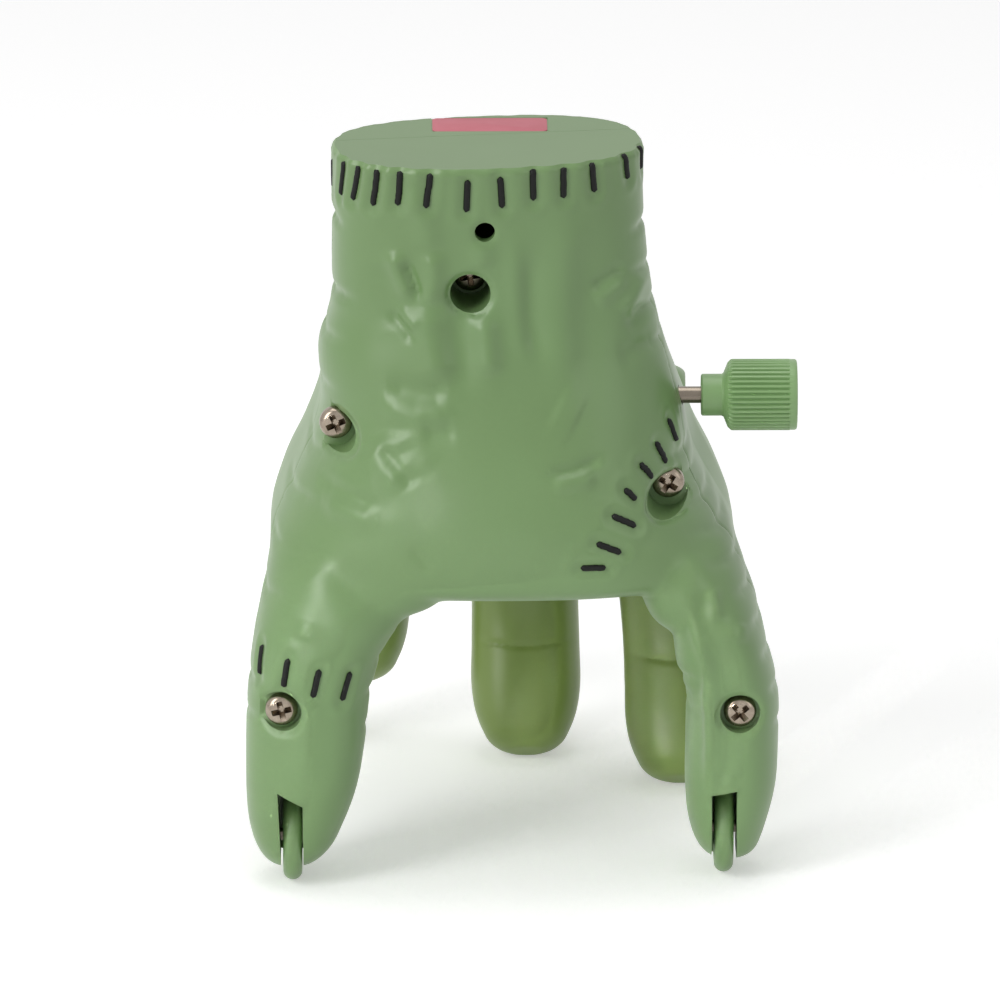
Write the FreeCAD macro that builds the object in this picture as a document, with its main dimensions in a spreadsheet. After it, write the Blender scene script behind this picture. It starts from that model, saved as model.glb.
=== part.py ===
# Wind-up walking hand: a moulded hand that stands on its fingers, wrist up.
# Millimetres. +X is the side of the winding knob, -Y the palm, +Z up. The origin is on the floor
# under the middle of the whole hand.
import FreeCAD, Part
import Sketcher
import math
import os

V = FreeCAD.Vector
doc = FreeCAD.newDocument("walking_hand")
sheet = doc.addObject("Spreadsheet::Sheet", "sheet")

# Driving dimensions, by the piece that they belong to
DIMENSIONS = (
    ("stand_x", 0.19), ("stand_y", 18.45), ("overrun", 5.0), ("running_gap", 0.04), ("seat_gap", 0.3),
    ("wrist_top", 89.3), ("palm_width", 55.8), ("palm_depth", 44.5), ("wall", 1.8),
    ("front_power", 2.4), ("back_power", 2.6), ("knuckle_power", 6.0), ("digit_power", 2.3),
    ("wrist_turn", 8.0), ("parting_turn", 4.5), ("digit_parting_turn", 2.5), ("digit_parting", -7.4),
    ("thumb_width", 14.2), ("thumb_depth", 15.0), ("little_width", 11.2), ("little_depth", 13.5),
    ("toy_wheel_dia", 11.0), ("toy_wheel_width", 2.2), ("toy_wheel_round", 0.6), ("slot_gap", 0.4),
    ("axle_dia", 1.5), ("thumb_axle_len", 7.6), ("little_axle_len", 7.0),
    ("screw_head_dia", 3.5), ("screw_head_height", 1.4), ("screw_dia", 2.0), ("screw_len", 8.0),
    ("well_dia", 4.8), ("boss_wall", 1.3), ("seat_wall", 1.6), ("hole_dia", 2.4),
    ("side_boss_depth", 10.0), ("side_rib", 2.0),
    ("rod_dia", 2.0), ("hub_dia", 13.2), ("hub_width", 12.4), ("knuckle_pitch", 14.0),
    ("middle_x", -0.1), ("hood_gap", 0.3), ("hood_wall", 1.6), ("hood_angle", 78.0),
    ("hood_split", 0.8), ("mouth_gap", 0.8), ("mouth_drop", 6.5), ("mouth_front", 10.0),
    ("spacer_dia", 5.0), ("finger_root_width", 11.8), ("finger_width", 13.3), ("finger_depth", 12.0),
    ("tip_len", 5.6), ("index_first", 21.0), ("index_second", 15.0), ("index_lift", 7.3),
    ("middle_first", 21.5), ("middle_second", 16.0), ("ring_first", 20.0), ("ring_second", 14.0),
    ("middle_lift", 1.27), ("ring_lift", 1.33), ("arm_width", 4.4), ("fork_gap", 8.0), ("prong", 1.5), ("fork_reach", 3.0),
    ("crank_throw", 1.46), ("wire_dia", 1.6), ("web_wide", 2.6), ("web_thick", 1.0), ("pin_len", 5.2),
    ("plate_left_gap", 8.5), ("plate_right_gap", 7.5), ("plate_thick", 1.2), ("plate_drop", 17.3),
    ("plate_rise", 10.2), ("plate_front_reach", 11.0), ("plate_back_reach", 15.8),
    ("plate_crown", 10.0), ("shoulder_drop", 5.3), ("plate_brow", 8.2), ("cheek_rise", 3.7),
    ("pillar_dia", 2.4), ("pillar_inset", 1.4), ("rib_thick", 3.0), ("rib_drop", 11.3),
    ("rib_rise", 2.7), ("gear_module", 0.5), ("pressure_angle", 20.0), ("backlash", 0.12),
    ("wheel_addendum", 0.6), ("pinion_addendum", 1.0), ("wheel_dedendum", 1.25),
    ("great_teeth", 36), ("second_pinion_teeth", 10), ("second_teeth", 24), ("crank_teeth", 12),
    ("governor_teeth", 10), ("gear_width", 1.5), ("pinion_width", 2.0), ("sleeve_dia", 2.8),
    ("arbor_dia", 1.2), ("winder_y", 1.0), ("second_bearing", -71.7), ("crank_bearing", -8.9),
    ("governor_bearing", 194.9), ("great_gap", 1.4), ("second_gap", 0.8), ("flywheel_gap", 5.1),
    ("flywheel_dia", 8.0), ("flywheel_width", 3.0), ("spring_start", 2.1), ("spring_end", 9.6),
    ("spring_thick", 0.25), ("spring_turns", 5), ("spring_gap", 3.9), ("spring_width", 6.0),
    ("shaft_dia", 2.0), ("shaft_hole", 2.4), ("knob_gap", 2.1), ("knob_hub_dia", 5.0),
    ("knob_hub_len", 2.5), ("knob_cone", 0.7), ("knob_dia", 8.5), ("knob_len", 11.4),
    ("knob_bevel", 0.4), ("knob_bore", 9.0), ("knurl_count", 42), ("knurl_depth", 0.28),
    ("knurl_rim", 0.9),
)
for row, (alias, value) in enumerate(DIMENSIONS, start=1):
    sheet.set("A%d" % row, alias)
    sheet.set("B%d" % row, str(value))
    sheet.setAlias("B%d" % row, alias)
doc.recompute()
sizes = {alias: float(sheet.get(alias)) for alias, value in DIMENSIONS}


def size(name):
    return sizes[name]


pieces = {}
stand = V(-size("stand_x"), -size("stand_y"), 0)
# Local +Z of a turned piece lies along the hand's +X, local X along +Y, local Y along +Z
ACROSS = FreeCAD.Rotation(V(1, 1, 1), 120)
# Local +Z lies along the hand's +Y, so a screw goes in from the palm
INWARD = FreeCAD.Rotation(V(1, 0, 0), -90)


def placed(x, y, z, rotation=FreeCAD.Rotation()):
    return FreeCAD.Placement(V(x, y, z) + stand, rotation)


def keep(node, thing, where=None):
    """Names a finished sub-part, in its place in the hand."""
    thing.Label = node
    if where is not None:
        thing.Placement = where
    pieces[node] = thing
    return thing


def shaped(node, shape, where=None):
    """A sub-part whose form is a shape of its own."""
    thing = doc.addObject("Part::Feature", node)
    thing.Shape = shape
    return keep(node, thing, where or placed(0, 0, 0))


def bound(thing, **expressions):
    for name, expression in expressions.items():
        thing.setExpression(name, expression)
    return thing


def rod(name, diameter, length, where=None):
    """A round bar along its own +Z, its sizes bound to the sheet."""
    bar = doc.addObject("Part::Cylinder", name)
    bound(bar, Radius="(%s) / 2" % diameter, Height=length)
    if where is not None:
        bar.Placement = where
    return bar


def tube(name, bore, diameter, length, where=None):
    """A round bar with a bore along its own +Z, its sizes bound to the sheet."""
    ring = doc.addObject("Part::Cut", name)
    ring.Base = rod(name + "_outside", diameter, length)
    ring.Tool = rod(name + "_bore", bore, length)
    if where is not None:
        ring.Placement = where
    return ring


def body_plane(body, role):
    return next(item for item in body.Origin.OriginFeatures if item.Role == role)


def profile(body, name, role, points):
    """A closed sketch of straight lines whose corners are bound to the sheet."""
    sketch = body.newObject("Sketcher::SketchObject", name)
    sketch.AttachmentSupport = [(body_plane(body, role), "")]
    sketch.MapMode = "FlatFace"
    corners = [(body.evalExpression(x), body.evalExpression(y)) for x, y in points]
    corners = [(float(x), float(y)) for x, y in corners]
    count = len(corners)
    for index in range(count):
        start = V(corners[index][0], corners[index][1], 0)
        end = V(corners[(index + 1) % count][0], corners[(index + 1) % count][1], 0)
        sketch.addGeometry(Part.LineSegment(start, end))
    for index in range(count):
        sketch.addConstraint(Sketcher.Constraint("Coincident", index, 2, (index + 1) % count, 1))
    for index, (corner, words) in enumerate(zip(corners, points)):
        for kind, value, expression, axis in (("DistanceX", corner[0], words[0], -2),
                                              ("DistanceY", corner[1], words[1], -1)):
            if value == 0:
                sketch.addConstraint(Sketcher.Constraint("PointOnObject", index, 1, axis))
            else:
                at = sketch.addConstraint(Sketcher.Constraint(kind, -1, 1, index, 1, value))
                sketch.setExpression("Constraints[%d]" % at, expression)
    return sketch


def turned(name, points):
    """A PartDesign body turned about its own Z from a profile of radius and height."""
    body = doc.addObject("PartDesign::Body", name)
    sketch = profile(body, name + "_profile", "XZ_Plane", points)
    revolution = body.newObject("PartDesign::Revolution", name + "_turned")
    revolution.Profile = sketch
    revolution.ReferenceAxis = (sketch, ["V_Axis"])
    revolution.Angle = 360
    doc.recompute()
    return body


# The parting surface leans back as it rises, and turns a little in plan, more at the wrist
def parting_y(x, z):
    """Where the two halves of the hand meet."""
    share = z / size("wrist_top")
    low, high = [math.tan(math.radians(size(name))) for name in ("digit_parting_turn", "parting_turn")]
    return size("digit_parting") * (1 - share) + x * (low + (high - low) * share)


PARTING_LEVELS = 8


def palm_side():
    """The space in front of the parting surface."""
    reach = size("palm_width")
    base, span = -size("overrun"), size("wrist_top") + 2 * size("overrun")
    outlines = []
    for step in range(PARTING_LEVELS + 1):
        z = base + span * step / PARTING_LEVELS
        outlines.append([V(-reach, -2 * reach, z), V(reach, -2 * reach, z),
                         V(reach, parting_y(reach, z), z), V(-reach, parting_y(-reach, z), z)])
    return lofted(outlines)


# Moulded forms: closed level outlines, lofted
OUTLINE_POINTS = 16


def outline(centre, half_across, half_deep, across, deep, power_front, power_back):
    """The corners of a rounded outline about a centre, in the plane of two directions."""
    points = []
    for step in range(OUTLINE_POINTS):
        angle = 2 * math.pi * step / OUTLINE_POINTS
        cosine, sine = math.cos(angle), math.sin(angle)
        power = power_front if sine < 0 else power_back
        side = math.copysign(abs(cosine) ** (2 / power), cosine) * half_across
        depth = math.copysign(abs(sine) ** (2 / power), sine) * half_deep
        points.append(centre + across * side + deep * depth)
    return points


def lofted(outlines):
    """A solid through closed outlines, in flat facets from each to the next."""
    def facet(*corners):
        return Part.Face(Part.makePolygon(list(corners) + [corners[0]]))
    faces = [facet(*outlines[0]), facet(*outlines[-1])]
    for low, high in zip(outlines, outlines[1:]):
        for here in range(len(low)):
            after = (here + 1) % len(low)
            faces.append(facet(low[here], low[after], high[after]))
            faces.append(facet(low[here], high[after], high[here]))
    return Part.makeSolid(Part.makeShell(faces))


def level_outline(left, right, front, back, z, power_front, power_back, inset=0, turn=0):
    centre = V((left + right) / 2, (front + back) / 2, z)
    across = V(math.cos(turn), math.sin(turn), 0)
    deep = V(-math.sin(turn), math.cos(turn), 0)
    return outline(centre, (right - left) / 2 - inset, (back - front) / 2 - inset, across, deep,
                   power_front, power_back)


# Palm and wrist: height as a share of wrist_top, left and right as shares of palm_width, front and
# back as shares of palm_depth, and how square the back is as a share of the way to knuckle_power
palm_shares = (
    (0.401, 0.457, 0.403, 0.283, 0.281, 0.5),
    (0.417, 0.516, 0.455, 0.351, 0.371, 0.7),
    (0.446, 0.533, 0.464, 0.378, 0.483, 0.9),
    (0.498, 0.518, 0.443, 0.389, 0.607, 1.0),
    (0.568, 0.485, 0.396, 0.366, 0.562, 1.0),
    (0.638, 0.449, 0.350, 0.326, 0.461, 0.6),
    (0.708, 0.419, 0.314, 0.292, 0.371, 0.2),
    (0.777, 0.401, 0.287, 0.270, 0.303, 0.0),
    (0.848, 0.398, 0.271, 0.268, 0.258, 0.0),
    (1.000, 0.397, 0.262, 0.305, 0.229, 0.0),
)


def palm_form(inset):
    """The palm and wrist, or the hollow inside them."""
    outlines = []
    width, depth, top = size("palm_width"), size("palm_depth"), size("wrist_top")
    base = palm_shares[0][0] * top
    for height, left, right, front, back, square in palm_shares:
        z = base + inset + (height * top - base) * (1 - 2 * inset / (top - base))
        power = size("back_power") + (size("knuckle_power") - size("back_power")) * square
        turn = math.radians(size("wrist_turn")) * height ** 4
        outlines.append(level_outline(-left * width, right * width, -front * depth, back * depth, z,
                                      size("front_power"), power, inset, turn))
    return lofted(outlines)


# Thumb and little finger: height as a share of the digit's rise, left and right of the axle as
# shares of the digit's width, front and back of it as shares of the digit's depth
thumb_shares = (
    (0.048, 0.19, 0.18, 0.15, 0.14), (0.069, 0.25, 0.25, 0.26, 0.25), (0.105, 0.31, 0.34, 0.34, 0.34),
    (0.162, 0.36, 0.42, 0.39, 0.43), (0.274, 0.39, 0.52, 0.45, 0.52), (0.405, 0.39, 0.57, 0.45, 0.55),
    (0.569, 0.37, 0.63, 0.45, 0.65), (0.710, 0.32, 0.82, 0.49, 0.82), (0.810, 0.26, 1.05, 0.46, 1.02),
    (0.905, 0.20, 1.10, 0.36, 1.20), (1.000, 0.14, 1.17, 0.12, 1.20),
)
little_shares = (
    (0.052, 0.15, 0.25, 0.19, 0.11), (0.071, 0.23, 0.34, 0.30, 0.22), (0.105, 0.30, 0.40, 0.39, 0.32),
    (0.155, 0.35, 0.46, 0.45, 0.39), (0.257, 0.38, 0.55, 0.51, 0.48), (0.395, 0.36, 0.58, 0.53, 0.56),
    (0.560, 0.36, 0.57, 0.56, 0.66), (0.698, 0.46, 0.44, 0.60, 0.81), (0.786, 0.62, 0.36, 0.58, 1.03),
    (0.890, 0.89, 0.22, 0.48, 1.20), (1.000, 0.98, 0.09, 0.20, 1.20),
)
# Places as shares: of wrist_top for heights, of palm_width across and of palm_depth front to back
digit_rise_share = 0.470
thumb_x_share, little_x_share = -0.486, 0.4364
knuckle_y_share, knuckle_z_share = 0.5393, 0.5151
winder_z_share, shell_side_share = 0.6417, 0.35
rod_left_share, rod_right_share = -0.441, 0.389
hole_x_share, hole_z_share = -0.0753, 0.9127
digit_rise = digit_rise_share * size("wrist_top")
thumb_x = thumb_x_share * size("palm_width")
little_x = little_x_share * size("palm_width")
axle_z = size("toy_wheel_dia") / 2
thumb_axle_y = parting_y(thumb_x, axle_z)
little_axle_y = parting_y(little_x, axle_z)


def digit_form(shares, axle_x, axle_y, width, depth):
    outlines = []
    for height, left, right, front, back in shares:
        outlines.append(level_outline(axle_x - left * width, axle_x + right * width,
                                      axle_y - front * depth, axle_y + back * depth,
                                      height * digit_rise, size("digit_power"), size("digit_power")))
    return lofted(outlines)


def bar(x, y, z, direction, diameter, length):
    return Part.makeCylinder(diameter / 2, length, V(x, y, z), direction)


def block(x_low, x_high, y_low, y_high, z_low, z_high):
    return Part.makeBox(x_high - x_low, y_high - y_low, z_high - z_low, V(x_low, y_low, z_low))


AXIS_X = V(1, 0, 0)
AXIS_Y = V(0, 1, 0)
thumb_form = digit_form(thumb_shares, thumb_x, thumb_axle_y, size("thumb_width"),
                        size("thumb_depth"))
little_form = digit_form(little_shares, little_x, little_axle_y, size("little_width"),
                         size("little_depth"))
palm = palm_form(0)
hollow = palm_form(size("wall"))
knuckle = V(0, knuckle_y_share * size("palm_depth"), knuckle_z_share * size("wrist_top"))
winder_z = winder_z_share * size("wrist_top")
hood_inner = size("hub_dia") / 2 + size("hood_gap")
hood_outer = hood_inner + size("hood_wall")
finger_roots = {"index": size("middle_x") - size("knuckle_pitch"), "middle": size("middle_x"),
                "ring": size("middle_x") + size("knuckle_pitch")}

# Knuckle hoods over the three finger roots, one bump each, in flat facets
HOOD_POINTS = 20


def round_outline(x, centre, reach):
    turns = [2 * math.pi * step / HOOD_POINTS for step in range(HOOD_POINTS)]
    return [V(x, centre.y + reach * math.cos(turn), centre.z + reach * math.sin(turn))
            for turn in turns]


hood_width = size("knuckle_pitch") - size("hood_split")
hoods = []
for root_x in finger_roots.values():
    slice_x = [root_x - hood_width / 2, root_x - hood_width / 2 + size("wall") / 2,
               root_x + hood_width / 2 - size("wall") / 2, root_x + hood_width / 2]
    reaches = (hood_outer - size("wall") / 2, hood_outer, hood_outer, hood_outer - size("wall") / 2)
    hoods.append(lofted([round_outline(x, knuckle, reach) for x, reach in zip(slice_x, reaches)]))


def fan(start_x, end_x, corners):
    """A prism along X over corners given as y and z."""
    ring = [V(start_x, y, z) for y, z in corners]
    return Part.Face(Part.makePolygon(ring + ring[:1])).extrude(V(end_x - start_x, 0, 0))


# The mouth that the rear fingers come out of, and swing in
lip = math.radians(size("hood_angle"))
far = size("palm_depth") * 2
mouth_corners = (
    (size("mouth_front"), -size("overrun")),
    (size("mouth_front"), knuckle.z - size("mouth_drop")),
    (knuckle.y, knuckle.z),
    (knuckle.y + far * math.cos(lip), knuckle.z + far * math.sin(lip)),
    (knuckle.y + far, -size("overrun")),
)
mouth_left = finger_roots["index"] - size("hub_width") / 2 - size("mouth_gap")
mouth_right = finger_roots["ring"] + size("hub_width") / 2 + size("mouth_gap")
mouth = fan(mouth_left, mouth_right, mouth_corners)
knuckle_room = lofted([round_outline(x, knuckle, hood_inner) for x in (mouth_left, mouth_right)])

# Case screws: x as a share of palm_width, z of wrist_top, and how far in front of the parting
# surface the head seats, as a share of palm_depth
screw_shares = {
    "wrist": (-0.1057, 0.8275, 0.023), "left_palm": (-0.3907, 0.6249, 0.004),
    "right_palm": (0.3154, 0.5431, 0.059), "thumb": (-0.509, 0.2470, 0.024),
    "little": (0.468, 0.2363, 0.059),
}
SCREWS = {}
for name, (x_share, z_share, seat_share) in screw_shares.items():
    screw_x, screw_z = x_share * size("palm_width"), z_share * size("wrist_top")
    seat_y = parting_y(screw_x, screw_z) - seat_share * size("palm_depth")
    SCREWS[name] = (screw_x, screw_z, seat_y)
boss_dia = size("well_dia") + 2 * size("boss_wall")
reach_y = size("palm_depth")
cased = ("wrist", "left_palm", "right_palm")

outer = palm.fuse([thumb_form, little_form] + hoods)
cased_form = outer.cut([hollow, mouth, knuckle_room])
half_space = palm_side()
front = cased_form.common(half_space)
back = cased_form.cut(half_space)

front_bosses = []
back_bosses = []
front_cuts = []
back_cuts = []
for name, (screw_x, screw_z, seat_y) in SCREWS.items():
    tube_end = max(seat_y + size("seat_wall"), parting_y(screw_x, screw_z))
    front_cuts.append(bar(screw_x, seat_y, screw_z, -AXIS_Y, size("well_dia"), reach_y))
    front_cuts.append(bar(screw_x, seat_y, screw_z, AXIS_Y, size("hole_dia"), reach_y))
    back_cuts.append(bar(screw_x, seat_y, screw_z, AXIS_Y, size("screw_dia"), size("screw_len")))
    if name in cased:
        front_bosses.append(bar(screw_x, tube_end, screw_z, -AXIS_Y, boss_dia, reach_y).common(palm))
        room = bar(screw_x, seat_y - size("overrun"), screw_z, AXIS_Y, boss_dia + size("seat_gap"),
                   size("overrun") + tube_end - seat_y)
        back_cuts.append(room)
        length = size("side_boss_depth") if name == "right_palm" else reach_y
        boss = bar(screw_x, tube_end, screw_z, AXIS_Y, boss_dia, length)
        if name == "right_palm":
            rib = block(screw_x, screw_x + reach_y, tube_end, tube_end + length,
                        screw_z - size("side_rib") / 2, screw_z + size("side_rib") / 2)
            boss = boss.fuse(rib)
        back_bosses.append(boss.common(palm).cut([knuckle_room, mouth, half_space]))
    else:
        back_cuts.append(bar(screw_x, seat_y, screw_z, -AXIS_Y, size("screw_dia"), reach_y))

# Wheel slots and axle holes in the two front digits
slot_width = size("toy_wheel_width") + 2 * size("slot_gap")
slot_top = size("toy_wheel_dia") + 2 * size("slot_gap")
axle_cuts = []
for axle_x, axle_y, length in ((thumb_x, thumb_axle_y, size("thumb_axle_len")),
                               (little_x, little_axle_y, size("little_axle_len"))):
    axle_cuts.append(block(axle_x - slot_width / 2, axle_x + slot_width / 2, -reach_y, reach_y,
                           -size("overrun"), slot_top))
    axle_cuts.append(bar(axle_x - length / 2, axle_y, axle_z, AXIS_X, size("axle_dia"), length))

# Hole for the winding shaft, the small moulding hole, and ribs that carry the motor plates
shaft_cut = bar(0, size("winder_y"), winder_z, AXIS_X, size("shaft_hole"), reach_y)
small_hole = bar(hole_x_share * size("palm_width"), -reach_y, hole_z_share * size("wrist_top"),
                 AXIS_Y, size("hole_dia"), reach_y)
plate_left = size("middle_x") - size("plate_left_gap")
plate_right = size("middle_x") + size("plate_right_gap")
plate_front = size("winder_y") - size("plate_front_reach")
plate_low = winder_z - size("plate_drop")
ribs = []
for plate_x in (plate_left, plate_right):
    ribs.append(block(plate_x - size("rib_thick") / 2, plate_x + size("rib_thick") / 2, -reach_y,
                      plate_front, winder_z - size("rib_drop"),
                      winder_z + size("rib_rise")).common(palm))
rod_left = rod_left_share * size("palm_width")
rod_right = rod_right_share * size("palm_width")
rod_cut = bar(rod_left, knuckle.y, knuckle.z, AXIS_X, size("rod_dia"), rod_right - rod_left)

front = front.fuse(front_bosses + ribs).cut(front_cuts + axle_cuts + [shaft_cut, small_hole])
back = back.fuse(back_bosses).cut(back_cuts + axle_cuts + [shaft_cut, rod_cut])
shaped("front_shell", front)
shaped("back_shell", back)

# Case screws: pan head at z = 0 to minus its height, shank and point along +Z
screw = turned("case_screw", (
    ("0", "0"),
    ("sheet.screw_dia / 2", "0"),
    ("sheet.screw_head_dia / 2", "sheet.screw_head_height"),
    ("sheet.screw_dia / 2", "sheet.screw_head_height"),
    ("sheet.screw_dia / 2", "sheet.screw_head_height + sheet.screw_len"),
    ("0", "sheet.screw_head_height + sheet.screw_len"),
))
copies = []
for name, (screw_x, screw_z, seat_y) in SCREWS.items():
    link = doc.addObject("Part::Feature", name + "_screw")
    link.Shape = screw.Shape
    link.Placement = placed(screw_x, seat_y - size("screw_head_height"), screw_z, INWARD)
    copies.append(link)
group = doc.addObject("Part::Compound", "shell_screws")
group.Links = copies
keep("shell_screws", group)

# Toy wheels and their pins
bore_dia = size("axle_dia") + 2 * size("running_gap")
for name, axle_x, axle_y, pin in (("thumb", thumb_x, thumb_axle_y, "thumb_axle_len"),
                                  ("little", little_x, little_axle_y, "little_axle_len")):
    wheel = turned(name + "_wheel", (
        ("sheet.axle_dia / 2 + sheet.running_gap", "0"),
        ("sheet.toy_wheel_dia / 2 - sheet.toy_wheel_round", "0"),
        ("sheet.toy_wheel_dia / 2", "sheet.toy_wheel_round"),
        ("sheet.toy_wheel_dia / 2", "sheet.toy_wheel_width - sheet.toy_wheel_round"),
        ("sheet.toy_wheel_dia / 2 - sheet.toy_wheel_round", "sheet.toy_wheel_width"),
        ("sheet.axle_dia / 2 + sheet.running_gap", "sheet.toy_wheel_width"),
    ))
    keep(name + "_wheel", wheel, placed(axle_x - size("toy_wheel_width") / 2, axle_y, axle_z, ACROSS))
    pin_bar = rod(name + "_axle", "sheet.axle_dia", "sheet." + pin)
    keep(name + "_axle", pin_bar, placed(axle_x - size(pin) / 2, axle_y, axle_z, ACROSS))

# Rear fingers: each bends twice. Slopes in degrees from +Y; the tip's place across as a share of
# palm_width; rock is where the fork stands in its swing, in degrees
FINGERS = {
    "index": {"bones": (size("index_first"), size("index_second")), "slopes": (-25.0, -70.0, -98.0),
              "lift": size("index_lift"), "tip_x_share": -0.360, "rock": 8.0},
    "middle": {"bones": (size("middle_first"), size("middle_second")), "slopes": (-36.0, -81.0, -107.0),
               "lift": size("middle_lift"), "tip_x_share": 0.0233, "rock": 0.0},
    "ring": {"bones": (size("ring_first"), size("ring_second")), "slopes": (-62.0, -94.0, -113.0),
             "lift": size("ring_lift"), "tip_x_share": 0.3584, "rock": -8.0},
}
# Stations along a finger: share of the way along its three bones, width, depth, all as shares
finger_shares = (
    (0.00, 0.00, 1.02), (0.14, 0.00, 0.98), (0.30, 0.35, 1.00), (0.46, 0.80, 1.06), (0.56, 0.85, 1.00),
    (0.68, 0.90, 0.95), (0.78, 1.00, 0.98), (0.88, 1.00, 0.92),
)
tip_shares = ((0.45, 0.96, 0.88), (0.75, 0.82, 0.74), (0.93, 0.60, 0.52), (1.00, 0.34, 0.28))
# Where along a finger it starts to spread sideways, and how quickly it then reaches its place
spread_from_share = 0.12
SPREAD_POWER = 3


def finger_path(root_x, plan):
    """The corners of a finger's centre line, from the rod to the tip."""
    corners = [V(root_x, knuckle.y, knuckle.z)]
    for length, slope in zip(plan["bones"], plan["slopes"]):
        turn = math.radians(slope)
        corners.append(corners[-1] + V(0, length * math.cos(turn), length * math.sin(turn)))
    turn = math.radians(plan["slopes"][-1])
    drop = plan["lift"] - corners[-1].z
    corners.append(corners[-1] + V(0, drop / math.tan(turn), drop))
    return corners


def along_path(corners, root_x, tip_x, share):
    """A point of the smooth centre line, with the direction there."""
    curve = Part.BSplineCurve()
    curve.interpolate(Points=corners)
    first, last = curve.FirstParameter, curve.LastParameter
    at = first + (last - first) * share
    point = curve.value(at)
    heading = curve.tangent(at)[0]
    spread = max(share - spread_from_share, 0) / (1 - spread_from_share)
    point.x = root_x + (tip_x - root_x) * (1 - (1 - spread) ** SPREAD_POWER)
    return point, V(0, heading.y, heading.z).normalize()


def finger_form(root_x, plan):
    corners = finger_path(root_x, plan)
    total = sum((corners[i + 1] - corners[i]).Length for i in range(len(corners) - 1))
    tip_share = size("tip_len") / total
    outlines = []
    root_width, width, depth = size("finger_root_width"), size("finger_width"), size("finger_depth")
    stations = []
    for share, widen, deep in finger_shares:
        stations.append((share, root_width + (width - root_width) * widen, depth * deep))
    for share, wide, deep in tip_shares:
        stations.append((1 - tip_share * (1 - share), width * wide, depth * deep))
    for share, wide, deep in stations:
        tip_x = plan["tip_x_share"] * size("palm_width")
        point, heading = along_path(corners, root_x, tip_x, share)
        across = V(1, 0, 0)
        upward = across.cross(heading)
        outlines.append(outline(point, wide / 2, deep / 2, across, upward, size("digit_power"),
                                size("digit_power")))
    return lofted(outlines)


crank_gap = size("gear_module") * (size("second_teeth") + size("crank_teeth")) / 2
second_gap = size("gear_module") * (size("great_teeth") + size("second_pinion_teeth")) / 2
governor_gap = size("gear_module") * (size("second_teeth") + size("governor_teeth")) / 2


def beside(place, distance, bearing):
    turn = math.radians(bearing)
    return (place[0] + distance * math.cos(turn), place[1] + distance * math.sin(turn))


winder_at = (size("winder_y"), winder_z)
second_at = beside(winder_at, second_gap, size("second_bearing"))
crank_at = beside(second_at, crank_gap, size("crank_bearing"))
governor_at = beside(second_at, governor_gap, size("governor_bearing"))

for name, plan in FINGERS.items():
    root_x = finger_roots[name]
    hub = bar(root_x - size("hub_width") / 2, knuckle.y, knuckle.z, AXIS_X, size("hub_dia"),
              size("hub_width"))
    half_fork = size("fork_gap") / 2
    prongs = []
    for low in (crank_at[1] + half_fork, crank_at[1] - half_fork - size("prong")):
        prongs.append(block(root_x - size("arm_width") / 2, root_x + size("arm_width") / 2,
                            crank_at[0] - size("fork_reach"), knuckle.y, low, low + size("prong")))
    arm = prongs[0].fuse(prongs[1])
    arm.rotate(V(root_x, knuckle.y, knuckle.z), AXIS_X, plan["rock"])
    bore = bar(root_x - size("hub_width"), knuckle.y, knuckle.z, AXIS_X,
               size("rod_dia") + 2 * size("running_gap"), 2 * size("hub_width"))
    shaped(name + "_finger", hub.fuse([arm, finger_form(root_x, plan)]).cut(bore))

# Rod through the roots and the washers between them
keep("pivot_rod", rod("pivot_rod", "sheet.rod_dia",
                      "sheet.palm_width * %g" % (rod_right_share - rod_left_share)),
     placed(rod_left, knuckle.y, knuckle.z, ACROSS))
washer_len = "sheet.knuckle_pitch - sheet.hub_width - 2 * sheet.running_gap"
washers = []
for name in ("index", "middle"):
    start = finger_roots[name] + size("hub_width") / 2 + size("running_gap")
    washers.append(tube(name + "_washer", "sheet.rod_dia", "sheet.spacer_dia", washer_len,
                        placed(start, knuckle.y, knuckle.z, ACROSS)))
group = doc.addObject("Part::Compound", "finger_spacers")
group.Links = washers
keep("finger_spacers", group)


# Gears: involute flanks, cut one gap at a time
def rolled(pitch, base, radius, tooth):
    """Half the angle of a tooth at a radius."""
    def involute(angle):
        return math.tan(angle) - angle
    at_pitch = math.acos(base / pitch)
    here = math.acos(min(base / max(radius, base), 1))
    return tooth / (2 * pitch) + involute(at_pitch) - involute(here)


def drawn(body, name, start, points):
    """A closed sketch of straight lines across a body's own Z, at a height bound to the sheet."""
    sketch = body.newObject("Sketcher::SketchObject", name)
    sketch.AttachmentSupport = [(body_plane(body, "XY_Plane"), "")]
    sketch.MapMode = "FlatFace"
    sketch.setExpression("AttachmentOffset.Base.z", start)
    count = len(points)
    for index in range(count):
        sketch.addGeometry(Part.LineSegment(points[index], points[(index + 1) % count]))
    for index in range(count):
        sketch.addConstraint(Sketcher.Constraint("Coincident", index, 2, (index + 1) % count, 1))
    return sketch


def ringed(body, name, start, radii, outer_hint, inner_hint):
    """A sketch of two circles about a body's own Z, their radii bound to the sheet."""
    sketch = body.newObject("Sketcher::SketchObject", name)
    sketch.AttachmentSupport = [(body_plane(body, "XY_Plane"), "")]
    sketch.MapMode = "FlatFace"
    sketch.setExpression("AttachmentOffset.Base.z", start)
    for ring, hint in enumerate((outer_hint, inner_hint)):
        sketch.addGeometry(Part.Circle(V(0, 0, 0), V(0, 0, 1), hint))
        sketch.addConstraint(Sketcher.Constraint("Coincident", ring, 3, -1, 1))
        at = sketch.addConstraint(Sketcher.Constraint("Radius", ring, hint))
        sketch.setExpression("Constraints[%d]" % at, radii[ring])
    return sketch


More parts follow.
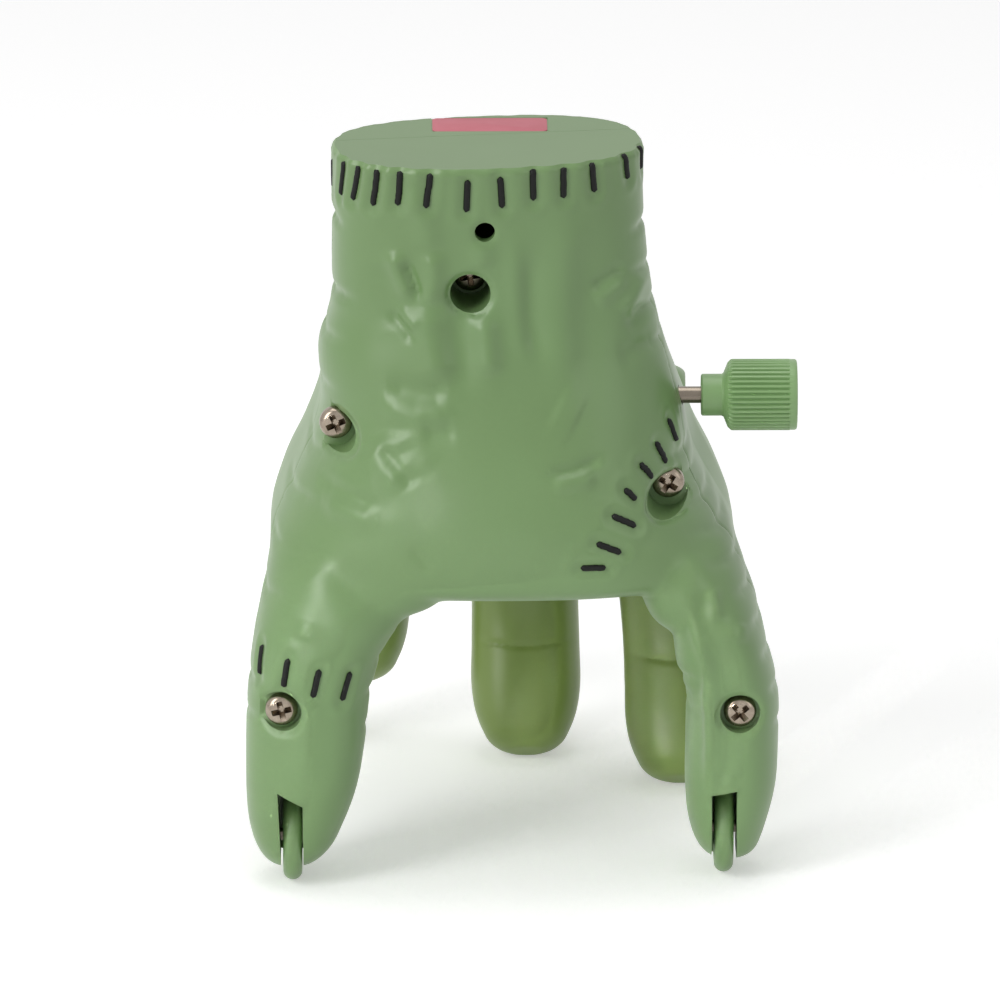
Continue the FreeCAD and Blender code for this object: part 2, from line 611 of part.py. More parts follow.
def gear(body, name, teeth, addendum_name, start, width, bore_expression, phase):
    """Adds a toothed disc to a body, along its own Z from start."""
    module = size("gear_module")
    pitch = module * teeth / 2
    base = pitch * math.cos(math.radians(size("pressure_angle")))
    tip = pitch + size(addendum_name) * module
    root = pitch - size("wheel_dedendum") * module
    tooth = math.pi * module / 2 - size("backlash") / 2
    tip_words = "sheet.gear_module * (%g / 2 + sheet.%s)" % (teeth, addendum_name)
    disc = ringed(body, name + "_blank", start, (tip_words, bore_expression), tip,
                  size("arbor_dia") / 2)
    pad = body.newObject("PartDesign::Pad", name + "_disc")
    pad.Profile = disc
    pad.setExpression("Length", width)
    doc.recompute()
    rising = [(radius, rolled(pitch, base, radius, tooth)) for radius in (root, pitch, tip)]
    rising.append((tip + module, rising[-1][1]))
    falling = [(radius, 2 * math.pi / teeth - half) for radius, half in reversed(rising)]
    gap = drawn(body, name + "_gap", start, [
        V(radius * math.cos(phase + half), radius * math.sin(phase + half), 0)
        for radius, half in rising + falling])
    pocket = body.newObject("PartDesign::Pocket", name + "_cut")
    pocket.Profile = gap
    pocket.setExpression("Length", width)
    pocket.Reversed = True
    doc.recompute()
    pattern = body.newObject("PartDesign::PolarPattern", name + "_teeth")
    pattern.Originals = [pocket]
    pattern.Axis = (gap, ["N_Axis"])
    pattern.Angle = 360
    pattern.Occurrences = int(teeth)
    body.Tip = pattern
    doc.recompute()
    return pattern


def meshed(phase, teeth, other_teeth, bearing):
    """The tooth phase of a gear that meets another one, seen from that one."""
    pitch = size("gear_module") * teeth / 2
    other = size("gear_module") * other_teeth / 2
    circular = math.pi * size("gear_module")
    toward = math.radians(bearing)
    travelled = pitch * (phase - toward)
    return toward + math.pi - (travelled + circular / 2) / other


plates_apart = "sheet.plate_left_gap + sheet.plate_right_gap"
train_span = plates_apart + (" - sheet.plate_thick - sheet.great_gap - sheet.second_gap"
                             " - sheet.gear_width")
plate_outside = size("plate_thick") / 2
great_x = plate_left + plate_outside + size("great_gap")
second_x = plate_right - plate_outside - size("second_gap") - size("gear_width")
great_phase = 0.0
second_phase = meshed(great_phase, size("great_teeth"), size("second_pinion_teeth"),
                      size("second_bearing"))
crank_phase = meshed(second_phase, size("second_teeth"), size("crank_teeth"), size("crank_bearing"))
governor_phase = meshed(second_phase, size("second_teeth"), size("governor_teeth"),
                        size("governor_bearing"))

great = doc.addObject("PartDesign::Body", "great_wheel")
gear(great, "great", size("great_teeth"), "wheel_addendum", "0", "sheet.gear_width",
     "sheet.shaft_dia / 2", great_phase)
keep("great_wheel", great, placed(great_x, *winder_at, ACROSS))

second = doc.addObject("PartDesign::Body", "second_gear")
gear(second, "second_pinion", size("second_pinion_teeth"), "pinion_addendum", "0",
     "sheet.pinion_width", "sheet.arbor_dia / 2", second_phase)
sleeve = ringed(second, "second_sleeve", "0", ("sheet.sleeve_dia / 2", "sheet.arbor_dia / 2"),
                size("sleeve_dia") / 2, size("arbor_dia") / 2)
pad = second.newObject("PartDesign::Pad", "second_sleeve_pad")
pad.Profile = sleeve
pad.setExpression("Length", train_span + " + sheet.gear_width")
doc.recompute()
gear(second, "second_wheel", size("second_teeth"), "wheel_addendum",
     train_span, "sheet.gear_width", "sheet.arbor_dia / 2", second_phase)
keep("second_gear", second, placed(great_x, *second_at, ACROSS))

crank_pinion = doc.addObject("PartDesign::Body", "crank_pinion")
gear(crank_pinion, "crank", size("crank_teeth"), "pinion_addendum", "0", "sheet.gear_width",
     "sheet.wire_dia / 2", crank_phase)
keep("crank_pinion", crank_pinion, placed(second_x, *crank_at, ACROSS))

governor_pinion = doc.addObject("PartDesign::Body", "governor_pinion")
gear(governor_pinion, "governor", size("governor_teeth"), "pinion_addendum", "0",
     "sheet.gear_width", "sheet.arbor_dia / 2", governor_phase)
keep("governor_pinion", governor_pinion, placed(second_x, *governor_at, ACROSS))

# Arbors run between the motor plates
arbor_start = plate_left - plate_outside
arbor_len = plates_apart + " + sheet.plate_thick"
for name, at in (("second_arbor", second_at), ("governor_arbor", governor_at)):
    keep(name, rod(name, "sheet.arbor_dia", arbor_len), placed(arbor_start, *at, ACROSS))
keep("flywheel", tube("flywheel", "sheet.arbor_dia", "sheet.flywheel_dia", "sheet.flywheel_width"),
     placed(plate_left + plate_outside + size("flywheel_gap"), *governor_at, ACROSS))

# Motor plates: pressed steel, one each side of the train
shaft_bore = size("shaft_dia") + 2 * size("running_gap")
wire_bore = size("wire_dia") + 2 * size("running_gap")
arbor_bore = size("arbor_dia") + 2 * size("running_gap")
upper_pillar_bearing = 135
post = size("spring_end") + size("pillar_dia") / 2
pillars_at = (
    beside(winder_at, post, 0),
    (plate_front + size("pillar_inset"), plate_low + size("pillar_inset")),
    beside(winder_at, post + size("seat_gap"), upper_pillar_bearing),
)
plate_back = size("winder_y") + size("plate_back_reach")
plate_high = winder_z + size("plate_rise")
plate_corners = (
    (plate_front, plate_low), (plate_back, plate_low),
    (plate_back, winder_z - size("shoulder_drop")),
    (size("winder_y") + size("plate_crown"), plate_high),
    (size("winder_y") - size("plate_brow"), plate_high), (plate_front, winder_z + size("cheek_rise")),
)
for name, plate_x in (("motor_plate_left", plate_left), ("motor_plate_right", plate_right)):
    plate = fan(plate_x - plate_outside, plate_x + plate_outside, plate_corners)
    holes = []
    for at, dia in ((winder_at, shaft_bore), (second_at, arbor_bore), (governor_at, arbor_bore),
                    (crank_at, wire_bore)):
        holes.append(bar(plate_x - size("overrun"), at[0], at[1], AXIS_X, dia, 2 * size("overrun")))
    shaped(name, plate.cut(holes))
pillars = []
for number, at in enumerate(pillars_at):
    pillar = rod("pillar_%d" % number, "sheet.pillar_dia",
                 plates_apart + " - sheet.plate_thick",
                 placed(plate_left + plate_outside, *at, ACROSS))
    pillars.append(pillar)
group = doc.addObject("Part::Compound", "plate_pillars")
group.Links = pillars
keep("plate_pillars", group)

# Mainspring: a flat ribbon wound in even steps, its outer end on a pillar
SPRING_STEPS = 16
spring_steps = int(SPRING_STEPS * size("spring_turns"))
climb = size("spring_end") - size("spring_thick") - size("spring_start")
inside = []
outside = []
for number in range(spring_steps + 1):
    radius = size("spring_start") + climb * number / spring_steps
    turn = 2 * math.pi * number / SPRING_STEPS
    for path, reach in ((inside, radius), (outside, radius + size("spring_thick"))):
        path.append(V(0, size("winder_y") + reach * math.cos(turn),
                      winder_z + reach * math.sin(turn)))
ribbon = Part.Face(Part.makePolygon(inside + outside[::-1] + inside[:1]))
shaped("mainspring", ribbon.extrude(V(size("spring_width"), 0, 0)), 
       placed(plate_left + plate_outside + size("spring_gap"), 0, 0))

# Crankshaft: three throws, down, level and up, with a flat web each side of a pin
crank_y, crank_z = crank_at
throws = {"index": (0, -1), "middle": (-1, 0), "ring": (0, 1)}
half_pin = size("pin_len") / 2
web = size("web_thick")
half_web = size("web_wide") / 2
journals = (
    (finger_roots["index"] + half_pin + web, finger_roots["middle"] - half_pin - web),
    (finger_roots["middle"] + half_pin + web, finger_roots["ring"] - half_pin - web),
)
crank_parts = [bar(low, crank_y, crank_z, AXIS_X, size("wire_dia"), high - low)
               for low, high in journals]
for name, (way_y, way_z) in throws.items():
    at_x = finger_roots[name]
    pin_y = crank_y + way_y * size("crank_throw")
    pin_z = crank_z + way_z * size("crank_throw")
    crank_parts.append(bar(at_x - half_pin, pin_y, pin_z, AXIS_X, size("wire_dia"), size("pin_len")))
    web_starts = []
    if name != "index":
        web_starts.append(at_x - half_pin - web)
    if name != "ring":
        web_starts.append(at_x + half_pin)
    for start in web_starts:
        crank_parts.append(block(start, start + web,
                                 min(crank_y, pin_y) - half_web, max(crank_y, pin_y) + half_web,
                                 min(crank_z, pin_z) - half_web, max(crank_z, pin_z) + half_web))
shaped("crankshaft", crank_parts[0].fuse(crank_parts[1:]))

# Winding shaft and knob
knob_x = shell_side_share * size("palm_width") + size("knob_gap")
shaft_len = ("sheet.palm_width * %g + sheet.knob_gap + sheet.knob_bore - sheet.middle_x"
             " + sheet.plate_left_gap + sheet.plate_thick / 2") % shell_side_share
keep("winding_shaft", rod("winding_shaft", "sheet.shaft_dia", shaft_len),
     placed(arbor_start, *winder_at, ACROSS))
knob = turned("winding_knob", (
    ("sheet.shaft_dia / 2", "0"),
    ("sheet.knob_hub_dia / 2", "0"),
    ("sheet.knob_hub_dia / 2", "sheet.knob_hub_len"),
    ("sheet.knob_dia / 2 - sheet.knob_bevel", "sheet.knob_hub_len + sheet.knob_cone"),
    ("sheet.knob_dia / 2", "sheet.knob_hub_len + sheet.knob_cone + sheet.knob_bevel"),
    ("sheet.knob_dia / 2", "sheet.knob_len - sheet.knob_bevel"),
    ("sheet.knob_dia / 2 - sheet.knob_bevel", "sheet.knob_len"),
    ("0", "sheet.knob_len"),
    ("0", "sheet.knob_bore"),
    ("sheet.shaft_dia / 2", "sheet.knob_bore"),
))
# Each groove is a notch between two ridges, drawn past the rim
groove_share = 0.62
half_angle = math.pi / size("knurl_count") * groove_share
rim = size("knob_dia") / 2
notch_out = rim + size("knurl_depth")
notch_side = notch_out * math.tan(half_angle) * notch_out / rim
groove = drawn(knob, "knurl_groove", "sheet.knob_hub_len + sheet.knob_cone", [
    V(rim - size("knurl_depth"), 0, 0), V(notch_out, notch_side, 0), V(notch_out, -notch_side, 0)])
groove_cut = knob.newObject("PartDesign::Pocket", "knurl_cut")
groove_cut.Profile = groove
groove_cut.setExpression("Length", "sheet.knob_len - sheet.knob_hub_len - sheet.knob_cone"
                                   " - sheet.knurl_rim")
groove_cut.Reversed = True
doc.recompute()
knurls = knob.newObject("PartDesign::PolarPattern", "knurls")
knurls.Originals = [groove_cut]
knurls.Axis = (groove, ["N_Axis"])
knurls.Angle = 360
knurls.setExpression("Occurrences", "sheet.knurl_count")
knob.Tip = knurls
keep("winding_knob", knob, placed(knob_x, *winder_at, ACROSS))

doc.recompute()
for item in doc.Objects:
    if "Invalid" in item.State or "Error" in item.State:
        raise RuntimeError("%s did not build: %s" % (item.Label, item.State))
os.makedirs("parts", exist_ok=True)
for node, item in sorted(pieces.items()):
    shape = item.Shape
    if shape.isNull() or not shape.isValid():
        raise RuntimeError("%s has no valid shape" % node)
    shape.exportStep("parts/%s.step" % node)
    box = shape.BoundBox
    print("%-20s solids %d volume %9.2f  x %.2f..%.2f y %.2f..%.2f z %.2f..%.2f" % (
        node, len(shape.Solids), shape.Volume, box.XMin, box.XMax, box.YMin, box.YMax, box.ZMin,
        box.ZMax))
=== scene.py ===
# Wind-up walking hand: a moulded green toy hand that stands on its fingers, wrist up.
# Sizes are in millimetres in the hand's own frame until a mesh is made; the frame is in metres.
import math

import bpy
import numpy as np
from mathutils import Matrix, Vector
from mathutils.bvhtree import BVHTree


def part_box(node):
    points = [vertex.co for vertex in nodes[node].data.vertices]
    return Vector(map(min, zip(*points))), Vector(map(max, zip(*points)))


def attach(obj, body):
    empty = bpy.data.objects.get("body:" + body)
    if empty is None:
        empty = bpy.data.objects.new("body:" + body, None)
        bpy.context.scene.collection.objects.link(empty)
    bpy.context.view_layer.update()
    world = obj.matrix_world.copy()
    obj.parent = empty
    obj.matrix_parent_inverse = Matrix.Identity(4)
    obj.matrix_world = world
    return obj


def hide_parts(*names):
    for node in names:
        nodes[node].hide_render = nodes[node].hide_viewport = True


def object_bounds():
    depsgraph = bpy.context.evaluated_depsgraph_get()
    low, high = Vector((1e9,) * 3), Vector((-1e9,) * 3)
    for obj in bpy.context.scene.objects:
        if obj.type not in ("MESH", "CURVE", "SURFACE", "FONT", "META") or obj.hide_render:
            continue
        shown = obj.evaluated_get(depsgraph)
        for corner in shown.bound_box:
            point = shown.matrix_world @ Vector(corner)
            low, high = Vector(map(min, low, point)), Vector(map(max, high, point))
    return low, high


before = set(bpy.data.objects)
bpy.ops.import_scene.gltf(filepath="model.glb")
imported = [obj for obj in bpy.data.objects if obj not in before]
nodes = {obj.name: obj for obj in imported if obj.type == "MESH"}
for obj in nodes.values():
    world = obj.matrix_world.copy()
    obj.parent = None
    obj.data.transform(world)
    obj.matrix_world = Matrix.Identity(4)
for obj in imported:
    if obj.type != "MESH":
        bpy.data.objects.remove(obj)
cad_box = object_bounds()

# The two shells of the hand: semi-gloss injection-moulded ABS, 1.8 mm thick, parted at the sides
# and across the wrist. Folds, creases and tendons are cut in the mould, so they are in the mesh.
STAND = np.array((0.19, 18.45, 0.0))
WRIST_TOP, PALM_WIDTH, PALM_DEPTH, WALL = 89.3, 55.8, 44.5, 1.8
FRONT_POWER, BACK_POWER, KNUCKLE_POWER, DIGIT_POWER = 2.4, 2.6, 6.0, 2.3
WRIST_TURN, TOP_ROUND = 8.0, 0.7
SKIN_VOXEL = 0.4
# Height, left, right, front, back and squareness of the back, as in the shells' solids
PALM_ROWS = np.array((
    (0.401, 0.457, 0.403, 0.283, 0.281, 0.5), (0.417, 0.516, 0.455, 0.351, 0.371, 0.7),
    (0.446, 0.533, 0.464, 0.378, 0.483, 0.9), (0.498, 0.507, 0.434, 0.389, 0.607, 1.0),
    (0.568, 0.458, 0.384, 0.366, 0.562, 1.0), (0.638, 0.429, 0.35, 0.326, 0.461, 0.6),
    (0.708, 0.43, 0.314, 0.292, 0.371, 0.2), (0.777, 0.401, 0.287, 0.27, 0.303, 0.0),
    (0.848, 0.398, 0.271, 0.268, 0.258, 0.0), (1.0, 0.397, 0.262, 0.305, 0.229, 0.0)))
# Height, left, right, front and back of the axle for the two front digits
THUMB_ROWS = np.array((
    (0.048, 0.19, 0.18, 0.15, 0.34), (0.069, 0.25, 0.25, 0.26, 0.42), (0.105, 0.31, 0.34, 0.34, 0.46),
    (0.162, 0.36, 0.42, 0.39, 0.48), (0.274, 0.39, 0.54, 0.45, 0.52), (0.405, 0.39, 0.61, 0.45, 0.55),
    (0.569, 0.37, 0.67, 0.45, 0.65), (0.71, 0.32, 0.82, 0.49, 0.82), (0.81, 0.26, 1.05, 0.46, 1.02),
    (0.905, 0.2, 1.1, 0.36, 1.2), (1.0, 0.14, 1.17, 0.12, 1.2)))
LITTLE_ROWS = np.array((
    (0.052, 0.15, 0.25, 0.19, 0.24), (0.071, 0.23, 0.34, 0.3, 0.36), (0.105, 0.31, 0.4, 0.39, 0.46),
    (0.155, 0.37, 0.46, 0.45, 0.53), (0.257, 0.41, 0.55, 0.51, 0.55), (0.395, 0.41, 0.58, 0.53, 0.58),
    (0.56, 0.41, 0.57, 0.56, 0.66), (0.698, 0.46, 0.44, 0.6, 0.81), (0.786, 0.62, 0.36, 0.58, 1.03),
    (0.89, 0.89, 0.22, 0.48, 1.2), (1.0, 0.98, 0.09, 0.2, 1.2)))
DIGIT_RISE = 0.47 * WRIST_TOP
AXLE_Z = 5.5
THUMB_X, LITTLE_X = -0.486 * PALM_WIDTH, 0.4364 * PALM_WIDTH
THUMB_WIDE, THUMB_DEEP, LITTLE_WIDE, LITTLE_DEEP = 14.2, 15.0, 11.2, 13.5
# The parting surface starts forward of the middle and leans, more at the wrist than at the digits
PARTING_FORWARD = 7.4
PARTING_LOW, PARTING_HIGH = math.tan(math.radians(2.5)), math.tan(math.radians(4.5))
WINDER_Y, WINDER_Z = 1.0, 57.3
KNUCKLE_Y, KNUCKLE_Z, HUB_ROOM = 24.0, 46.0, 6.9
FINGER_ROOTS = {"index": -14.1, "middle": -0.1, "ring": 13.9}
# A skin keeps this far inside the part's box, in metres, but may stand above it where it is cut off
BOX_MARGIN, CUT_ALLOWANCE = 2e-5, 4e-3


def srgb(text):
    """Linear colour of an sRGB hex value."""
    parts = [int(text[i:i + 2], 16) / 255 for i in (1, 3, 5)]
    return tuple(c / 12.92 if c <= 0.04045 else ((c + 0.055) / 1.055) ** 2.4 for c in parts) + (1,)


def material(name, **numbers):
    """A material with numbers on its shader's inputs, named with underlines for spaces."""
    made = bpy.data.materials.new(name)
    made.use_nodes = True
    shader = made.node_tree.nodes["Principled BSDF"]
    for key, value in numbers.items():
        shader.inputs[key.replace("_", " ")].default_value = value
    return made, made.node_tree, shader


def add(tree, kind, inputs=None, **settings):
    """A shader node with its settings; an input is a value or the socket that feeds it."""
    node = tree.nodes.new("ShaderNode" + kind)
    for key, value in settings.items():
        setattr(node, key, value)
    for key, value in (inputs or {}).items():
        if isinstance(value, bpy.types.NodeSocket):
            tree.links.new(value, node.inputs[key])
        else:
            node.inputs[key].default_value = value
    return node


def noise(tree, size, detail, place=None):
    """A noise whose marks have a real size in metres."""
    place = place or add(tree, "TexCoord").outputs["Object"]
    return add(tree, "TexNoise", {"Vector": place, "Scale": 1 / size, "Detail": detail}).outputs["Fac"]


def toned(tree, shader, source, dark, light, low=0, high=1):
    """Colours a shader between two sRGB values."""
    ramp = add(tree, "ValToRGB", {"Fac": source})
    for stop, place, colour in zip(ramp.color_ramp.elements, (low, high), (dark, light)):
        stop.position, stop.color = place, srgb(colour)
    tree.links.new(ramp.outputs["Color"], shader.inputs["Base Color"])


def glossed(tree, shader, source, low, high):
    """Spreads a shader's roughness between two values."""
    spread = add(tree, "MapRange", {"Value": source, "To Min": low, "To Max": high})
    tree.links.new(spread.outputs["Result"], shader.inputs["Roughness"])


def bumped(tree, shader, source, strength, distance):
    """Raises a shader's surface, over what raises it already."""
    raised = add(tree, "Bump", {"Height": source, "Strength": strength, "Distance": distance})
    for link in shader.inputs["Normal"].links:
        tree.links.new(link.from_socket, raised.inputs["Normal"])
    tree.links.new(raised.outputs["Normal"], shader.inputs["Normal"])


def piece(name, points, faces, surface=None):
    """A mesh object from points in millimetres in the hand's frame."""
    mesh = bpy.data.meshes.new(name)
    mesh.from_pydata(((np.asarray(points, float) - STAND) / 1000).tolist(), [], faces)
    mesh.validate()
    mesh.shade_smooth()
    made = bpy.data.objects.new(name, mesh)
    bpy.context.scene.collection.objects.link(made)
    if surface:
        mesh.materials.append(surface)
    return made


def discard(*objects):
    for thing in objects:
        bpy.data.objects.remove(thing)


def skinned(rows):
    """Points and faces of a closed body through rows of points."""
    count = len(rows[0])
    points = np.concatenate(rows)
    faces = [tuple(reversed(range(count)))]
    for row in range(len(rows) - 1):
        base = row * count
        for i in range(count):
            j = (i + 1) % count
            faces.append((base + i, base + j, base + count + j, base + count + i))
    faces.append(tuple(range((len(rows) - 1) * count, len(rows) * count)))
    return points, faces


def joined(*bodies):
    """Several bodies' points and faces as one list."""
    points, faces, start = [], [], 0
    for body_points, body_faces in bodies:
        points.append(np.asarray(body_points, float))
        faces += [tuple(i + start for i in face) for face in body_faces]
        start += len(body_points)
    return np.concatenate(points), faces


def flowing(knots, values, at):
    """Values at places between the known ones, on a smooth curve through them."""
    slopes = np.gradient(values, knots, axis=0, edge_order=2)
    low = np.clip(np.searchsorted(knots, at, side="right") - 1, 0, len(knots) - 2)
    span = (knots[low + 1] - knots[low])[:, None]
    t = (at - knots[low])[:, None] / span
    return ((2 * t ** 3 - 3 * t ** 2 + 1) * values[low] + (t ** 3 - 2 * t ** 2 + t) * span * slopes[low]
            + (3 * t ** 2 - 2 * t ** 3) * values[low + 1] + (t ** 3 - t ** 2) * span * slopes[low + 1])


def rounded_row(centre, half_across, half_deep, across, deep, front_power, back_power, count=80):
    """Points round a rounded outline, whose powers say how square its two halves are."""
    turn = 2 * np.pi * np.arange(count) / count
    cosine, sine = np.cos(turn), np.sin(turn)
    power = np.where(sine < 0, front_power, back_power)
    side = np.sign(cosine) * np.abs(cosine) ** (2 / power) * half_across
    depth = np.sign(sine) * np.abs(sine) ** (2 / power) * half_deep
    return np.asarray(centre) + np.outer(side, across) + np.outer(depth, deep)


def parting_y(x, z):
    share = z / WRIST_TOP
    return -PARTING_FORWARD * (1 - share) + x * (PARTING_LOW + (PARTING_HIGH - PARTING_LOW) * share)


def palm_body(inset):
    """The palm and wrist, or what lies an inset inside their skin."""
    base = PALM_ROWS[0, 0]
    shares = np.linspace(base, 1, 70)
    table = flowing(PALM_ROWS[:, 0], PALM_ROWS[:, 1:], shares)
    rows = []
    for share, (left, right, front, back, square) in zip(shares, table):
        level = (share - base) / (1 - base)
        z = base * WRIST_TOP + inset + (WRIST_TOP * (1 - base) - 2 * inset) * level
        turn = math.radians(WRIST_TURN) * share ** 4
        across = (math.cos(turn), math.sin(turn), 0)
        deep = (-math.sin(turn), math.cos(turn), 0)
        centre = ((right - left) / 2 * PALM_WIDTH, (back - front) / 2 * PALM_DEPTH, z)
        power = BACK_POWER + (KNUCKLE_POWER - BACK_POWER) * min(max(square, 0), 1)
        halves = (right + left) / 2 * PALM_WIDTH - inset, (front + back) / 2 * PALM_DEPTH - inset
        rows.append((centre, halves, across, deep, power))
    if inset == 0:
        # The rim is rounded over, and carried up past the cut
        centre, halves, across, deep, power = rows.pop()
        rim_rows = 25
        for climb in np.linspace(0, 3, rim_rows):
            drop = min(climb, TOP_ROUND)
            shrink = TOP_ROUND - math.sqrt(TOP_ROUND ** 2 - drop ** 2)
            place = (centre[0], centre[1], WRIST_TOP - TOP_ROUND + climb)
            rows.append((place, (halves[0] - shrink, halves[1] - shrink), across, deep, power))
        below = [row for row in rows if row[0][2] < WRIST_TOP - TOP_ROUND - 0.2]
        rows = below + rows[-rim_rows:]
    return skinned([rounded_row(centre, *halves, across, deep, FRONT_POWER, power)
                    for centre, halves, across, deep, power in rows])


def digit_body(table, axle_x, width, depth):
    axle_y = parting_y(axle_x, AXLE_Z)
    shares = np.linspace(table[0, 0], 1, 56)
    rows = []
    for share, (left, right, front, back) in zip(shares, flowing(table[:, 0], table[:, 1:], shares)):
        centre = (axle_x + (right - left) / 2 * width, axle_y + (back - front) / 2 * depth,
                  share * DIGIT_RISE)
        rows.append(rounded_row(centre, (right + left) / 2 * width, (front + back) / 2 * depth,
                                (1, 0, 0), (0, 1, 0), DIGIT_POWER, DIGIT_POWER))
    return skinned(rows)


def lathe(profile, start, axis, count=48):
    """A body turned about an axis through start, from (place along it, radius) pairs."""
    axis = np.array(axis, float)
    side = np.cross(axis, (0, 0, 1)) if abs(axis[2]) < 0.9 else np.array((1.0, 0, 0))
    side /= np.linalg.norm(side)
    other = np.cross(axis, side)
    turn = 2 * np.pi * np.arange(count) / count
    ring = np.outer(np.cos(turn), side) + np.outer(np.sin(turn), other)
    return skinned([np.asarray(start) + axis * along + ring * max(radius, 1e-3)
                    for along, radius in profile])


def box_body(low, high):
    return skinned([np.array([(low[0], low[1], z), (high[0], low[1], z), (high[0], high[1], z),
                              (low[0], high[1], z)], float) for z in (low[2], high[2])])


def prism(start_x, end_x, corners):
    """A body along X over corners given as y and z, listed anticlockwise from +X."""
    return skinned([np.array([(x, y, z) for y, z in corners], float) for x in (start_x, end_x)])


def evaluated(thing):
    """Replaces an object's mesh by what its modifiers make of it."""
    shown = thing.evaluated_get(bpy.context.evaluated_depsgraph_get())
    mesh = bpy.data.meshes.new_from_object(shown)
    thing.modifiers.clear()
    old = thing.data
    thing.data = mesh
    bpy.data.meshes.remove(old)
    return thing


def combined(thing, operation, *bodies):
    """Cuts bodies from a thing, joins them to it or keeps what they share; the bodies are used up."""
    for body in bodies:
        tool = body if isinstance(body, bpy.types.Object) else piece("tool", *body)
        change = thing.modifiers.new("change", "BOOLEAN")
        change.operation, change.solver, change.object = operation, "MANIFOLD", tool
        evaluated(thing)
        discard(tool)
    return thing


def united(things):
    return combined(things[0], "UNION", *things[1:])


def copied(thing, name):
    twin = bpy.data.objects.new(name, thing.data.copy())
    bpy.context.scene.collection.objects.link(twin)
    return twin


def merged(name, bodies, voxel):
    """One closed skin round several bodies, in even small faces."""
    skin = piece(name, *joined(*bodies))
    wrap = skin.modifiers.new("wrap", "REMESH")
    wrap.mode, wrap.voxel_size, wrap.use_smooth_shade = "VOXEL", voxel / 1000, True
    return evaluated(skin)


def read(items, key, width=3, kind=float):
    """A table of one property of a mesh's parts."""
    values = np.empty(len(items) * width, kind)
    items.foreach_get(key, values)
    return values.reshape(-1, width)


def read_points(thing):
    return read(thing.data.vertices, "co") * 1000 + STAND


def write_points(thing, points):
    low, high = [np.array(corner) for corner in cad_box]
    top = high - BOX_MARGIN + (0, 0, CUT_ALLOWANCE)
    flat = np.clip((points - STAND) / 1000, low + BOX_MARGIN, top)
    thing.data.vertices.foreach_set("co", flat.ravel())
    thing.data.update()


def relaxed(thing, passes, weight_of):
    """Evens out a skin; the weight from 0 to 1 at each point says how much."""
    a, b = read(thing.data.edges, "vertices", 2, int).T
    points = read_points(thing)
    weight = weight_of(points)[:, None]
    neighbours = np.bincount(a, minlength=len(points)) + np.bincount(b, minlength=len(points))
    for _ in range(passes):
        sums = [np.bincount(a, points[b, k], len(points)) + np.bincount(b, points[a, k], len(points))
                for k in range(3)]
        mean = np.stack(sums, 1) / np.maximum(neighbours, 1)[:, None]
        points = points + (mean - points) * 0.5 * weight
    write_points(thing, points)


FACINGS = {"palm": ((0, 2), (0, -1, 0)), "back": ((0, 2), (0, 1, 0)),
           "left": ((1, 2), (-1, 0, 0)), "right": ((1, 2), (1, 0, 0))}
STROKE_REACH = 24


def along_stroke(flat, line):
    """How far points lie from a broken line in their plane, and the share of it that each is at."""
    line = np.array(line, float).reshape(-1, 2)
    lengths = np.linalg.norm(np.diff(line, axis=0), axis=1)
    best, at = np.full(len(flat), 1e9), np.zeros(len(flat))
    for start, end, length, before in zip(line, line[1:], lengths, np.cumsum(lengths) - lengths):
        share = np.clip((flat - start) @ (end - start) / length ** 2, 0, 1)
        away = np.linalg.norm(flat - start - share[:, None] * (end - start), axis=1)
        nearer = away < best
        best[nearer], at[nearer] = away[nearer], (before + share * length)[nearer] / lengths.sum()
    return best, at


def relief(points, normals, strokes):
    """Rise of the skin at each point from the strokes on its sides, which fade at their ends."""
    rise = np.zeros(len(points))
    for side, marks in strokes.items():
        axes, outward = FACINGS[side]
        facing = np.clip(normals @ outward * 1.6, 0, 1)
        for height, width, *line in marks:
            near = (facing > 0) & (np.abs(points[:, 2] - np.mean(line[1::2])) < STROKE_REACH)
            away, at = along_stroke(points[near][:, axes], line)
            faded = np.clip(4 * np.minimum(at, 1 - at) + 0.12, 0, 1)
            rise[near] += height * facing[near] * faded * np.exp(-(away / width) ** 2)
    return rise


